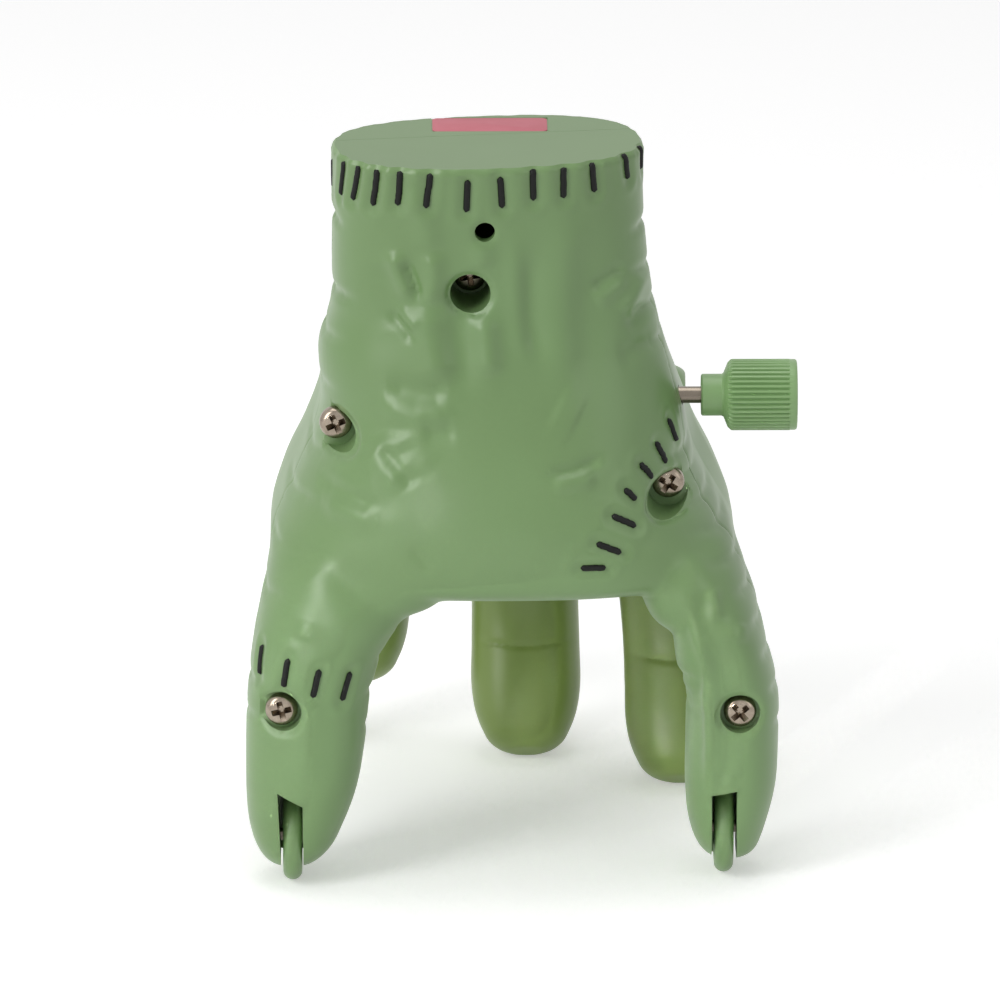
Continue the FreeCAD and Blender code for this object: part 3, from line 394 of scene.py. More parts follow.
# Folds and tendons: rise, half width, then a line's places, each across (x, or y on the sides) and up
PALM_STROKES = [
    (0.55, 1.6, -12.6, 86.8, -11.2, 82, -10.4, 78.8), (0.75, 1.3, -10.4, 79.2, -10.2, 75.4, -10.9, 72),
    (0.75, 1.3, -15, 79, -14.2, 76, -12.8, 72.6), (-0.75, 0.75, -13.7, 77.8, -12.7, 75.2, -11.7, 72.6),
    (-0.35, 2.2, -16.6, 77, -15.6, 72.5, -14.4, 69),
    (0.95, 2.3, -11, 72.4, -10.8, 69, -10, 65.6, -9.2, 62.6),
    (-0.45, 0.7, -15.6, 71, -13.6, 69.3, -12.2, 67.6), (0.4, 0.9, -14.4, 71.6, -12, 69.4),
    (-0.55, 1.9, -7.2, 76, -7.3, 68, -6.6, 61), (0.85, 1.5, -4.4, 71.2, -3.9, 67.4, -3.7, 63.6),
    (0.4, 1.35, -4.6, 80, -4.4, 76.8), (-0.56, 1.52, -16, 62.2, -12, 61.8, -8.4, 61.5),
    (0.56, 1.69, -16.8, 60.3, -12.6, 58.9, -9.4, 59.1, -8, 60.4), (-0.42, 1.35, -11.6, 57.2, -7.6, 57.7),
    (0.42, 2.36, -13.5, 57.6, -12.6, 53.8, -10.6, 52.4), (0.65, 2.2, -17.6, 55.6, -14.6, 52.4, -13.2, 51.2),
    (0.38, 3.04, -17.9, 54.4, -19.8, 50.8, -15.6, 50.8), (-0.51, 0.85, -16.6, 55.3, -12.7, 50.8),
    (-0.38, 1.69, -14.4, 55.6, -11.6, 51), (-0.45, 1.01, -24.2, 49.4, -20.4, 48.7, -16.6, 47.9),
    (0.56, 1.52, -23.6, 47.5, -16.6, 46.5), (0.32, 1.21, -0.8, 80.7, -0.4, 73, -0.1, 68.4, 1.2, 64.9),
    (-0.46, 1.37, 1.3, 78.4, 1.3, 70.2, 2.4, 65),
    (0.42, 2.12, 4.1, 84, 5.3, 79.9, 5.1, 74.2, 4.9, 68.4, 5.4, 61), (-0.32, 2.42, 8.4, 80, 8, 70, 8.2, 61),
    (0.34, 2.7, 4, 60, 7, 58.4), (-0.52, 0.81, 8.6, 73.4, 12.4, 75.6), (0.4, 1.22, 8.8, 72, 12.6, 74),
    (0.52, 1.08, 12, 70, 15, 73.8), (-0.46, 1.08, 12.6, 67.8, 16.6, 71.2),
    (-0.4, 1.35, 11.6, 64.6, 16.6, 66.6), (-0.52, 0.68, 3.2, 52.5, 6.4, 52.8, 9.8, 53.8),
    (0.46, 1.08, 3.6, 51.2, 9, 51.9), (-0.34, 0.81, -13.2, 43.6, -10.4, 41),
    (1.05, 0.9, 19.7, 36.4, 20.2, 34.6, 21.1, 31.9, 22.1, 28.6, 22.5, 24.8, 22.8, 20.6, 22.9, 17.9,
     22.7, 13.5, 22.8, 11),
    (-0.3, 1.6, 18.2, 31, 19.6, 26, 20, 18, 19.8, 12), (0.5, 0.8, 22.7, 37.4, 22.9, 35.6, 23.2, 33.6),
    (0.35, 0.6, 24.6, 12.4, 25.1, 14.4), (-0.4, 1.76, 24.6, 31, 24.2, 26, 24.8, 20),
    (0.4, 1.35, 26.2, 33, 25.4, 31), (0.46, 1.62, -25, 30, -25.4, 22, -25.7, 16, -25.8, 12.6),
    (0.4, 1.22, -25, 34.2, -25.4, 31.8), (0.52, 2.6, -25, 41, -22, 36.5, -20.5, 32),
]
LEFT_STROKES = [
    (-0.35, 6.5, -16, 58, -2, 57.5, 14, 58), (-0.44, 0.7, -7, 80.6, -1, 81, 4, 80.2),
    (-0.48, 0.8, -8, 71.8, -1, 71.4, 5, 72.2), (-0.32, 0.7, -7, 66.4, 0, 66, 7, 66.8),
    (-0.28, 0.7, -6, 60.2, 1, 59.6, 9, 60.4), (-0.28, 0.8, -8, 52.4, -1, 51.8, 8, 52.8),
    (-0.32, 0.8, -9, 46.8, -2, 46.4, 8, 46.8), (-0.28, 0.7, -12, 41.4, -5, 41, 2, 41.6),
    (-0.28, 0.7, -13, 36.2, -7, 35.6, 0, 36.4), (-0.36, 0.7, -13, 26, -8, 25.4, -1, 26.2),
    (-0.24, 0.6, -13, 21.6, -8, 21.2, -2, 21.8),
]
RIGHT_STROKES = [
    (-0.95, 6.5, -16, 49, -2, 48.5, 14, 49), (-0.4, 0.7, -6, 79.4, 0, 79.8, 5, 79.2),
    (-0.36, 0.7, -7, 74.6, 0, 74.2, 6, 74.8), (-0.4, 0.7, -7, 70, -1, 69.6, 6, 70.4),
    (-0.32, 0.7, -7, 65.4, -1, 65.2, 5, 65.8), (-0.28, 0.7, -9, 52.4, -2, 52, 6, 52.6),
    (-0.28, 0.7, -9, 49.4, -2, 49, 7, 49.8), (-0.28, 0.7, -10, 46.4, -3, 46, 7, 46.6),
    (-0.28, 0.7, -10, 43.2, -4, 42.8, 5, 43.4), (-0.28, 0.7, -11, 39.6, -5, 39.2, 3, 39.8),
    (-0.28, 0.7, -11, 36, -5, 35.6, 2, 36.2), (-0.28, 0.7, -11, 32.2, -6, 31.8, 1, 32.4),
    (-0.28, 0.7, -11, 28.2, -6, 27.8, 0, 28.4), (-0.32, 0.7, -11, 24, -6, 23.6, 0, 24.2),
    (-0.24, 0.6, -10, 19.6, -5, 19.2, 0, 19.8),
]
# Back of the hand: tendons from the knuckles up to the wrist, with veins and cross folds
BACK_STROKES = []
for root_x, top_x in zip(FINGER_ROOTS.values(), (-10.5, -3.0, 5.5)):
    BACK_STROKES += [(0.7, 1.7, root_x, 54, root_x * 0.86 + top_x * 0.14, 60, top_x, 74),
                     (0.5, 3.2, root_x - 1.5, 53.5, root_x + 1.5, 53.5)]
BACK_STROKES += [
    (-0.5, 1.8, -7.2, 54, -6.6, 62, -6.4, 68), (-0.5, 1.8, 6.8, 54, 3.6, 62, 1.6, 68),
    (0.28, 0.8, -17, 58, -13, 62, -12.5, 67, -8, 71), (0.28, 0.8, 10.5, 57, 8.6, 61, 9.4, 66, 5.6, 72),
    (-0.35, 0.7, -17, 78.4, -8, 77.6, 3, 77.8, 11, 78.6),
    (-0.35, 0.7, -16, 75.2, -7, 74.2, 2, 74.4, 10, 75.4), (-0.3, 0.6, -31, 26, -25, 26.6, -19, 26),
    (-0.3, 0.6, -31, 24, -25, 24.4, -19, 23.8), (-0.3, 0.6, 20, 25.4, 24, 26, 29, 25.4),
    (-0.3, 0.6, 20, 23.4, 24, 24, 29, 23.6),
]
# A nail on the back of each front digit: a sunk outline round a slightly raised plate
for nail_x, half, low, high in ((THUMB_X + 0.8, 3.4, 6.0, 14.5), (LITTLE_X + 0.9, 2.7, 5.6, 12.6)):
    outline = []
    for t in np.linspace(math.radians(-20), math.radians(200), 14):
        outline += [nail_x + half * math.cos(t), (low + high) / 2 + (high - low) / 2 * math.sin(t)]
    BACK_STROKES += [(-0.45, 0.45, *outline), (0.25, half * 0.7, nail_x, low + 2, nail_x, high - 2)]


def join_weight(points):
    """More smoothing where the digits grow out of the palm and along the palm's lower edge."""
    z = points[:, 2]
    zone = np.exp(-((z - 39) / 8.5) ** 2)
    return np.clip(0.12 + 0.88 * zone, 0, 1) * np.clip((WRIST_TOP - 1.5 - z) / 2, 0, 1)


# The hoods over the three hubs, from half of their profile
hood_half = [(2.6, 8.4), (4.2, 8.2), (5.6, 7.7), (6.3, 7.3), (6.6, HUB_ROOM)]
hood_profile = [(-along, radius) for along, radius in hood_half[::-1]] + hood_half
hoods = [lathe(hood_profile, (x, KNUCKLE_Y, KNUCKLE_Z), (1, 0, 0), 64) for x in FINGER_ROOTS.values()]
# The webs where the two front digits grow out of the palm's lower edge
webs = []
for centre, halves in (((-15.0, -8.5, 38.0), (7.2, 6.5, 4.9)), ((19.4, -8.0, 36.2), (5.0, 5.5, 5.5)),
                       ((21.4, -8.0, 31.0), (3.2, 5.5, 8.5))):
    points, faces = lathe([(math.sin(t), math.cos(t)) for t in np.radians(np.linspace(-89, 89, 25))],
                          (0, 0, 0), (0, 0, 1), 40)
    webs.append((points * halves + centre, faces))
digits = [digit_body(THUMB_ROWS, THUMB_X, THUMB_WIDE, THUMB_DEEP),
          digit_body(LITTLE_ROWS, LITTLE_X, LITTLE_WIDE, LITTLE_DEEP)]
skin = merged("skin", webs + [palm_body(0)] + digits + hoods, SKIN_VOXEL)
relaxed(skin, 34, join_weight)
skin_points, skin_normals = read_points(skin), read(skin.data.vertex_normals, "vector")
hand_strokes = {"palm": PALM_STROKES, "left": LEFT_STROKES, "right": RIGHT_STROKES, "back": BACK_STROKES}
skin_points += skin_normals * relief(skin_points, skin_normals, hand_strokes)[:, None]
write_points(skin, skin_points)

# Where the stitches lie on the skin: each from its first to its last point, in the hand's frame
WRIST_STITCHES = [
    ((-22.1, -2.5, 87.6), (-22.3, -1.6, 83.8)), ((-20.8, -8.1, 88.8), (-21.3, -6.5, 84.2)),
    ((-19, -10.4, 88.9), (-19.9, -8.9, 84.2)), ((-16.8, -12, 88.9), (-17.5, -10.8, 84)),
    ((-14.1, -13, 89.1), (-14.5, -12.2, 84.4)), ((-10.6, -13.7, 88.9), (-11.1, -13, 84.4)),
    ((-6.2, -13.6, 87.9), (-6.4, -13, 83.8)), ((-2.4, -13.3, 88.2), (-2.1, -12.7, 84.2)),
    ((1.4, -12.6, 89.2), (1.6, -12.2, 85)), ((5.1, -11.8, 89.2), (5.3, -11.7, 85)),
    ((8.3, -10.1, 89.2), (8.9, -9.8, 85.3)), ((12, -6.9, 89.3), (12.9, -6.4, 86)),
    ((14, -3.2, 89.3), (14.6, -2.6, 86.2)), ((14.7, 2, 88.4), (15, 2.4, 84.6)),
    ((12.9, 6.6, 88.5), (13.2, 7, 84.4)), ((10.2, 9.2, 88.3), (10.4, 9.6, 84.6)),
    ((6.6, 10.4, 88.6), (6.7, 10.8, 84.3)), ((2.9, 10.6, 88.4), (2.7, 11, 84.5)),
    ((-1.1, 10.5, 88.7), (-1.2, 10.9, 84.6)), ((-4.9, 10.2, 88.3), (-5.2, 10.6, 84.2)),
    ((-8.8, 9.6, 88.6), (-8.9, 10, 84.6)), ((-12.6, 8.6, 88.4), (-13, 9, 84.3)),
    ((-16.2, 7, 88.6), (-16.5, 7.4, 84.5)), ((-19.4, 4.6, 88.3), (-19.8, 4.9, 84.4)),
    ((-21.4, 1.4, 88.5), (-21.8, 1.7, 84.6))]
PALM_STITCHES = [
    ((17.9, -5.6, 56.4), (19.4, -5, 53.4)), ((16.5, -8.7, 54.3), (18, -7.7, 51.6)),
    ((14.6, -11.3, 52.5), (16.3, -10.4, 50.6)), ((12.6, -13.5, 50.1), (14.1, -13.1, 48.7)),
    ((10.9, -15, 47.2), (13.9, -14.1, 45.7)), ((9, -16.1, 44.1), (12, -15.3, 42.7)),
    ((7.1, -16.4, 41.1), (10.1, -15.8, 41))]
THUMB_STITCHES = [
    ((-30.7, -10.8, 30.1), (-30.9, -11.4, 26.5)), ((-27.6, -14.6, 29.5), (-28.2, -14.5, 25.8)),
    ((-23.8, -15.6, 28.4), (-24.6, -15.3, 24.8)), ((-20.1, -14.3, 27.7), (-21.2, -13.8, 24)),
    ((-31.4, -1.4, 30.2), (-31.3, -2.4, 26.6)), ((-27.8, 1.4, 29.6), (-27.9, 0.2, 26)),
    ((-23.8, 1.8, 28.8), (-24, 0.6, 25.2)), ((-20, 0.2, 28), (-20.4, -1, 24.4))]
# Case screws: across, up, and the depth where the head seats
SCREWS = {"wrist": (-5.9, 73.5, -2.73), "left_palm": (-21.8, 55.8, -4.38),
          "right_palm": (17.6, 48.5, -4.9), "thumb": (-28.35, 22.7, -12.4),
          "little": (26.11, 21.75, -10.7)}
SHANKS = {"wrist": 8, "left_palm": 8, "right_palm": 8, "thumb": 12.3, "little": 11.8}
WELL_RADIUS, HOLE_RADIUS, BOSS_WALL, BOSS_INSET, PARTING_GAP = 2.4, 1.2, 1.3, 1.45, 0.06
# The two palm wells run a little below their screws
WELL_DROPS = {"left_palm": 0.6, "right_palm": 0.7}
SMALL_HOLE = (-4.2, 81.25)
STEP_FROM, SIDE_STEP = 72, 7.5


def split_y(x, z):
    """The parting surface as moulded: it steps back up to the wrist's end and on the left side."""
    climb = np.clip((z - STEP_FROM) / (WRIST_TOP - STEP_FROM), 0, 1)
    back = np.clip((-14 - x) / 10, 0, 1) * np.clip((z - 30) / 14, 0, 1) * np.clip((80 - z) / 10, 0, 1)
    return (parting_y(x, z) + (0.0628 * x + 2.34) * climb ** 2
            + SIDE_STEP * back ** 2 * (3 - 2 * back))


# Puckers under the stitches, rounded rims at the wells and the hole, and the parting's edges
skin_points, skin_normals = read_points(skin), read(skin.data.vertex_normals, "vector")
rise = np.zeros(len(skin_points))
for start, end in WRIST_STITCHES + PALM_STITCHES + THUMB_STITCHES:
    start, end = np.array(start), np.array(end)
    close = np.linalg.norm(skin_points - (start + end) / 2, axis=1) < 6
    near = skin_points[close]
    run = end - start
    share = np.clip((near - start) @ run / (run @ run), 0, 1)
    away = np.linalg.norm(near - start - share[:, None] * run, axis=1)
    rise[close] += 0.1 * np.exp(-((away - 1.5) / 0.6) ** 2) - 0.26 * np.exp(-(away / 0.85) ** 2)
for name, (x, z, seat_y) in SCREWS.items():
    away = np.hypot(skin_points[:, 0] - x, skin_points[:, 2] - z + WELL_DROPS.get(name, 0))
    rise -= 0.55 * np.exp(-(np.clip(away - WELL_RADIUS, 0, 9) / 0.4) ** 2) * (skin_points[:, 1] < seat_y)
away = np.hypot(skin_points[:, 0] - SMALL_HOLE[0], skin_points[:, 2] - SMALL_HOLE[1])
rise -= 0.25 * np.exp(-(np.clip(away - HOLE_RADIUS, 0, 9) / 0.25) ** 2) * (skin_points[:, 1] < 0)
off = skin_points[:, 1] - split_y(skin_points[:, 0], skin_points[:, 2])
rise -= 0.07 * np.exp(-(off / 0.25) ** 2)
write_points(skin, skin_points + skin_normals * rise[:, None])
skin_tree = BVHTree.FromPolygons([tuple(p) for p in read_points(skin)],
                                 [tuple(face.vertices) for face in skin.data.polygons])


def split_body(offset, front):
    """Everything in front of the parting surface, or behind it, as a closed body."""
    rows = []
    for z in np.linspace(-5, 95, 61):
        line = [(x, split_y(x, z) + offset, z) for x in np.linspace(-60, 60, 121)]
        rows.append(np.array([(-60, -90, z), (60, -90, z)] + line[::-1] if front
                             else line + [(60, 90, z), (-60, 90, z)], float))
    return skinned(rows)


def bore(x, y, z, radius, length, axis=(0, 1, 0)):
    return lathe([(0, radius), (length, radius)], (x, y, z), axis, 40)


# The mouth that the fingers come out of: its sides, its outline in y and z, and the hubs' room
MOUTH_LEFT, MOUTH_RIGHT, MOUTH_REACH, MOUTH_SLOPE = -21.1, 20.9, 80, math.radians(78)
MOUTH = [(113, -5), (KNUCKLE_Y + MOUTH_REACH * math.cos(MOUTH_SLOPE),
                     KNUCKLE_Z + MOUTH_REACH * math.sin(MOUTH_SLOPE)),
         (KNUCKLE_Y, KNUCKLE_Z), (10, 39.5), (10, -5)]


def mouth_bodies():
    hubs = bore(MOUTH_LEFT, KNUCKLE_Y, KNUCKLE_Z, HUB_ROOM, MOUTH_RIGHT - MOUTH_LEFT, (1, 0, 0))
    return prism(MOUTH_LEFT, MOUTH_RIGHT, MOUTH), hubs


inside = combined(piece("inside", *palm_body(WALL)), "UNION", *mouth_bodies())
combined(skin, "DIFFERENCE", box_body((-60, -60, WRIST_TOP), (60, 60, 99)))
case = copied(skin, "case")
combined(case, "DIFFERENCE", inside)
front = combined(copied(case, "front"), "INTERSECT", split_body(-PARTING_GAP / 2, True))
back = combined(copied(case, "back"), "INTERSECT", split_body(PARTING_GAP / 2, False))
discard(case, skin)

# Bosses for the screws, with their ribs, kept under the skin
within = piece("within", *palm_body(BOSS_INSET))
front_bosses, back_bosses = [], []
for name in ("wrist", "left_palm", "right_palm"):
    x, z, seat_y = SCREWS[name]
    tube_end = max(seat_y + 1.6, parting_y(x, z))
    radius = WELL_RADIUS + BOSS_WALL
    front_bosses.append(piece("boss", *bore(x, tube_end - 40, z, radius, 40)))
    back_bosses.append(piece("boss", *bore(x, tube_end, z, radius, 10 if name == "right_palm" else 40)))
    if name == "right_palm":
        combined(back_bosses[-1], "UNION", box_body((x, tube_end, z - 1), (x + 40, tube_end + 10, z + 1)))
front_bosses, back_bosses = united(front_bosses), united(back_bosses)
# Ribs that hold the motor's plates
for x in (-8.6, 7.4):
    combined(front_bosses, "UNION", box_body((x - 1.5, -44, WINDER_Z - 11.3),
                                             (x + 1.5, -10, WINDER_Z + 2.7)))
combined(front_bosses, "INTERSECT", copied(within, "within"))
combined(back_bosses, "INTERSECT", within)
combined(back_bosses, "DIFFERENCE", *mouth_bodies()[::-1], split_body(PARTING_GAP / 2, True))
combined(front, "UNION", front_bosses)
combined(back, "UNION", back_bosses)

# Wells, screw holes, the wheel slots with their pins' holes, and the hole of the winding shaft
front_cuts = piece("cuts", *bore(0, WINDER_Y, WINDER_Z, 1.2, 40, (1, 0, 0)))
SLOT_HALF, SLOT_TOP, SLOT_ROOM, PIN_RADIUS = 1.5, 11.8, 5.7, 0.75
for axle_x, length, aside, tilt, close in ((THUMB_X, 7.6, -0.27, 0.8, 0.45),
                                           (LITTLE_X, 7.0, -0.05, -0.3, 0.1)):
    axle_y = parting_y(axle_x, AXLE_Z)
    low_x, high_x = axle_x - SLOT_HALF + aside, axle_x + SLOT_HALF + aside
    outline = ((low_x + close, -5), (low_x + close, 2), (low_x, SLOT_TOP + tilt),
               (high_x, SLOT_TOP - tilt), (high_x, -5))
    opening = [np.array([(x, y, z) for x, z in outline])[::-1] for y in (axle_y, -44)]
    combined(front_cuts, "UNION", skinned(opening),
             bore(low_x + 0.35, axle_y, AXLE_Z, SLOT_ROOM, 2.65 - max(aside, -0.05), (1, 0, 0)),
             bore(axle_x - length / 2, axle_y, AXLE_Z, PIN_RADIUS, length, (1, 0, 0)))
back_cuts = copied(front_cuts, "back_cuts")
combined(back_cuts, "UNION", bore(-24.6, KNUCKLE_Y, KNUCKLE_Z, 1.0, 46.3, (1, 0, 0)))
combined(front_cuts, "UNION", bore(SMALL_HOLE[0], -44, SMALL_HOLE[1], HOLE_RADIUS, 40))
for name, (x, z, seat_y) in SCREWS.items():
    flare = 1.8 if name == "right_palm" else 0.0
    below = WELL_DROPS.get(name, 0)
    well = lathe([(0, WELL_RADIUS), (44, WELL_RADIUS + flare)], (x, seat_y, z - below), (0, -1, 0), 40)
    combined(front_cuts, "UNION", well, bore(x, seat_y, z, HOLE_RADIUS, 40))
    combined(back_cuts, "UNION", bore(x, seat_y, z, 1.0, SHANKS[name]))
    if name in ("thumb", "little"):
        combined(back_cuts, "UNION", bore(x, seat_y - 40, z, 1.0, 40))
    else:
        tube_end = max(seat_y + 1.6, parting_y(x, z))
        room = piece("room", *bore(x, seat_y - 5, z, WELL_RADIUS + BOSS_WALL + 0.15,
                                   5 + tube_end - seat_y))
        combined(room, "INTERSECT", palm_body(BOSS_INSET))
        combined(back_cuts, "UNION", room)
combined(front, "DIFFERENCE", front_cuts)
combined(back, "DIFFERENCE", back_cuts)


def moulded_plastic(name, colour, dark, roughness):
    """ABS straight from the mould: an even gloss with a faint drift of colour, and the fine
    unevenness of a mould's surface."""
    made, tree, shader = material(name, IOR=1.54)
    drift = noise(tree, 0.022, 2.0)
    toned(tree, shader, drift, dark, colour, 0.35, 0.65)
    glossed(tree, shader, drift, roughness - 0.03, roughness + 0.04)
    # Mould texture is 0.3 mm across; sink of the cooling wall is 7 mm
    bumped(tree, shader, noise(tree, 0.0003, 1.0), 0.1, 0.00003)
    bumped(tree, shader, noise(tree, 0.007, 1.0), 0.22, 0.0004)
    return made


def finished(thing, name, surface, body, replaced=(), angle=35):
    """Names a piece, gives it its finish and sharp edges, and fixes it to its body."""
    thing.name = thing.data.name = name
    thing.data.materials.clear()
    thing.data.materials.append(surface)
    thing.data.shade_smooth()
    thing.data.set_sharp_from_angle(angle=math.radians(angle))
    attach(thing, body)
    if replaced:
        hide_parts(*replaced)
    return thing


hand_plastic = moulded_plastic("moulded_abs_hand_green", "#769661", "#72915C", 0.34)
# A pocket in the back shell's end takes the label, with a little room round it
LABEL_LEFT, LABEL_FRONT, LABEL_RIGHT, LABEL_BACK = -10.25, 3.15, 3.35, 8.95
LABEL_ROOM, LABEL_DEPTH = 0.1, 0.12
combined(back, "DIFFERENCE", box_body(
    (LABEL_LEFT - LABEL_ROOM, LABEL_FRONT - LABEL_ROOM, WRIST_TOP - LABEL_DEPTH),
    (LABEL_RIGHT + LABEL_ROOM, LABEL_BACK + LABEL_ROOM, WRIST_TOP + 2)))
finished(front, "front_shell_visual", hand_plastic, "hand", ["front_shell"])
finished(back, "back_shell_visual", hand_plastic, "hand", ["back_shell"])
# The flat end comes from a spark-eroded part of the mould, so it is matt; its greyer colour is a painted
# sheen, the grazing reflection of the white room
end_plastic_painted_sheen = moulded_plastic("spark_textured_abs_green_painted_sheen", "#7F9571", "#7B916D", 0.62)
for shell in (front, back):
    shell.data.materials.append(end_plastic_painted_sheen)
    for face in shell.data.polygons:
        if face.normal.z > 0.95 and face.center.z * 1000 > WRIST_TOP - 0.05:
            face.material_index = 1

# Stitches: short thick black threads moulded on the skin in shallow puckers and painted, round the
# wrist's end, across the root of one front digit and round the other.
stitch_paint, tree, shader = material("black_stitch_paint", Roughness=0.55, Specular_IOR_Level=0.25,
                                      IOR=1.5)
dabs = noise(tree, 0.0006, 2.0)
toned(tree, shader, dabs, "#050605", "#10120F")
bumped(tree, shader, dabs, 0.3, 0.00008)


def thread(start, end, half=0.4, proud=0.28):
    """One stitch: a rounded bead that follows the skin between two points near it."""
    rows, laid, steps = [], [], 15
    length = math.dist(start, end)
    for step in range(steps):
        at = Vector(start).lerp(Vector(end), step / (steps - 1))
        spot, normal, _, _ = skin_tree.find_nearest(at)
        laid.append((np.array(spot), np.array(normal)))
    for step, (spot, normal) in enumerate(laid):
        ahead = laid[min(step + 1, steps - 1)][0] - laid[max(step - 1, 0)][0]
        ahead /= np.linalg.norm(ahead)
        side = np.cross(normal, ahead)
        side /= np.linalg.norm(side)
        run = min(step, steps - 1 - step) / (steps - 1) * length
        fat = math.sqrt(max(1 - (1 - min(run / half, 1)) ** 2, 0.02))
        turn = 2 * np.pi * np.arange(14) / 14
        rows.append(spot + np.outer(np.cos(turn) * half * fat, side)
                    + np.outer(np.sin(turn) * (proud + 0.12) * fat, normal))
    return skinned([row[::-1] for row in rows])


for name, lines in (("wrist_stitches", WRIST_STITCHES), ("palm_stitches", PALM_STITCHES),
                    ("thumb_stitches", THUMB_STITCHES)):
    finished(piece(name, *joined(*[thread(*line) for line in lines])), name, stitch_paint, "hand",
             angle=80)

# Label on the wrist's end: a thin vinyl sticker with rounded corners, printed in one flat colour
# and stuck in a shallow pocket of the back shell.
vinyl, tree, shader = material("printed_vinyl_rose", Roughness=0.62, IOR=1.5)
fade = noise(tree, 0.004, 3.0)
toned(tree, shader, fade, "#B9606A", "#C97480")
bumped(tree, shader, fade, 0.2, 0.00004)
corner = 0.7
edge = []
for cx, cy, start in ((LABEL_RIGHT - corner, LABEL_BACK - corner, 0),
                      (LABEL_LEFT + corner, LABEL_BACK - corner, 90),
                      (LABEL_LEFT + corner, LABEL_FRONT + corner, 180),
                      (LABEL_RIGHT - corner, LABEL_FRONT + corner, 270)):
    for step in range(7):
        turn = math.radians(start + 15 * step)
        edge.append((cx + corner * math.cos(turn), cy + corner * math.sin(turn)))
middle = np.mean(edge, axis=0)
rows = []
for z, shrink in ((WRIST_TOP - 0.115, 0.0), (WRIST_TOP - 0.02, 0.0), (WRIST_TOP, 0.04)):
    rows.append(np.array([(x + np.sign(middle[0] - x) * shrink, y + np.sign(middle[1] - y) * shrink, z)
                          for x, y in edge]))
finished(piece("blank_label", *skinned(rows)), "blank_label", vinyl, "hand")

# Case screws: five ST2 pan head tapping screws, the two in the digits longer, of steel with bright
# nickel plate. They are cross recessed and driven down wells in the palm side into the back shell.
nickel, tree, shader = material("bright_nickel_plate", Metallic=1.0)
scuffs = noise(tree, 0.0009, 3.0)
toned(tree, shader, scuffs, "#6F6357", "#B5A999")
glossed(tree, shader, scuffs, 0.16, 0.32)
HEAD_RADIUS, HEAD_HEIGHT, SHANK_RADIUS, PITCH = 1.95, 1.5, 1.0, 0.9
RECESS_TURNS = {"wrist": 10, "left_palm": 24, "right_palm": 58, "thumb": 14, "little": 40}


def screw_profile(length):
    """From the point of the screw out to the top of its head, as places along -Y and radii."""
    profile = [(-length, 0.12), (1.2 - length, SHANK_RADIUS - 0.3)]
    for ridge in range(int((length - 1.5) / PITCH)):
        base = 1.35 - length + ridge * PITCH
        profile += [(base, SHANK_RADIUS - 0.28), (base + 0.35, SHANK_RADIUS - 0.02),
                    (base + 0.5, SHANK_RADIUS - 0.02), (base + 0.8, SHANK_RADIUS - 0.28)]
    profile += [(-0.05, SHANK_RADIUS - 0.2), (0, SHANK_RADIUS - 0.1), (0.001, HEAD_RADIUS - 0.08),
                (0.08, HEAD_RADIUS), (0.5, HEAD_RADIUS)]
    for turn in np.radians(np.linspace(12, 86, 9)):
        profile.append((0.5 + (HEAD_HEIGHT - 0.5) * math.sin(turn) ** 1.1,
                        0.35 + (HEAD_RADIUS - 0.35) * math.cos(turn) ** 0.55))
    return profile


screws = []
for name, (x, z, seat_y) in SCREWS.items():
    one = piece("screw", *lathe(screw_profile(SHANKS[name]), (x, seat_y, z), (0, -1, 0), 56))
    for spin in (0, 90):
        turn = math.radians(RECESS_TURNS[name] + spin)
        along = np.array((math.cos(turn), 0, math.sin(turn)))
        aside = np.array((-math.sin(turn), 0, math.cos(turn)))
        rows = []
        for depth, reach, half in ((1.05, 0.36, 0.17), (0.0, 1.25, 0.36), (-0.5, 1.4, 0.41)):
            centre = np.array((x, seat_y - HEAD_HEIGHT + depth, z))
            rows.append(np.array([centre + along * sx * reach + aside * sy * half
                                  for sx, sy in ((-1, -1), (-1, 1), (1, 1), (1, -1))]))
        combined(one, "DIFFERENCE", skinned([row[::-1] for row in rows]))
    screws.append(one)
finished(united(screws), "pan_head_screws", nickel, "hand", ["shell_screws"], 30)

# Toy wheels: solid moulded discs with rounded rims that turn on steel pins in the digits' slots.
WHEEL_BORE, HUB_HALF, WEB_HALF, RIM_HALF = 0.79, 1.16, 1.0, 1.14
wheel_side = [(HUB_HALF, WHEEL_BORE), (HUB_HALF, 1.5), (WEB_HALF, 1.7), (WEB_HALF, 4.0), (RIM_HALF, 4.2)]
for name, axle_x, body in (("thumb_wheel", THUMB_X, "thumb_roller"),
                           ("little_wheel", LITTLE_X, "little_roller")):
    axle_y = parting_y(axle_x, AXLE_Z)
    profile = [(-along, radius) for along, radius in wheel_side]
    for turn in np.radians(np.linspace(-88, 88, 17)):
        profile.append((RIM_HALF * math.sin(turn), 4.42 + 1.06 * math.cos(turn)))
    profile += wheel_side[::-1]
    disc = piece(name, *lathe(profile, (axle_x, axle_y, AXLE_Z), (1, 0, 0), 96))
    combined(disc, "DIFFERENCE", bore(axle_x - 3, axle_y, AXLE_Z, WHEEL_BORE, 6, (1, 0, 0)))
    finished(disc, name + "_visual", hand_plastic, body, [name])
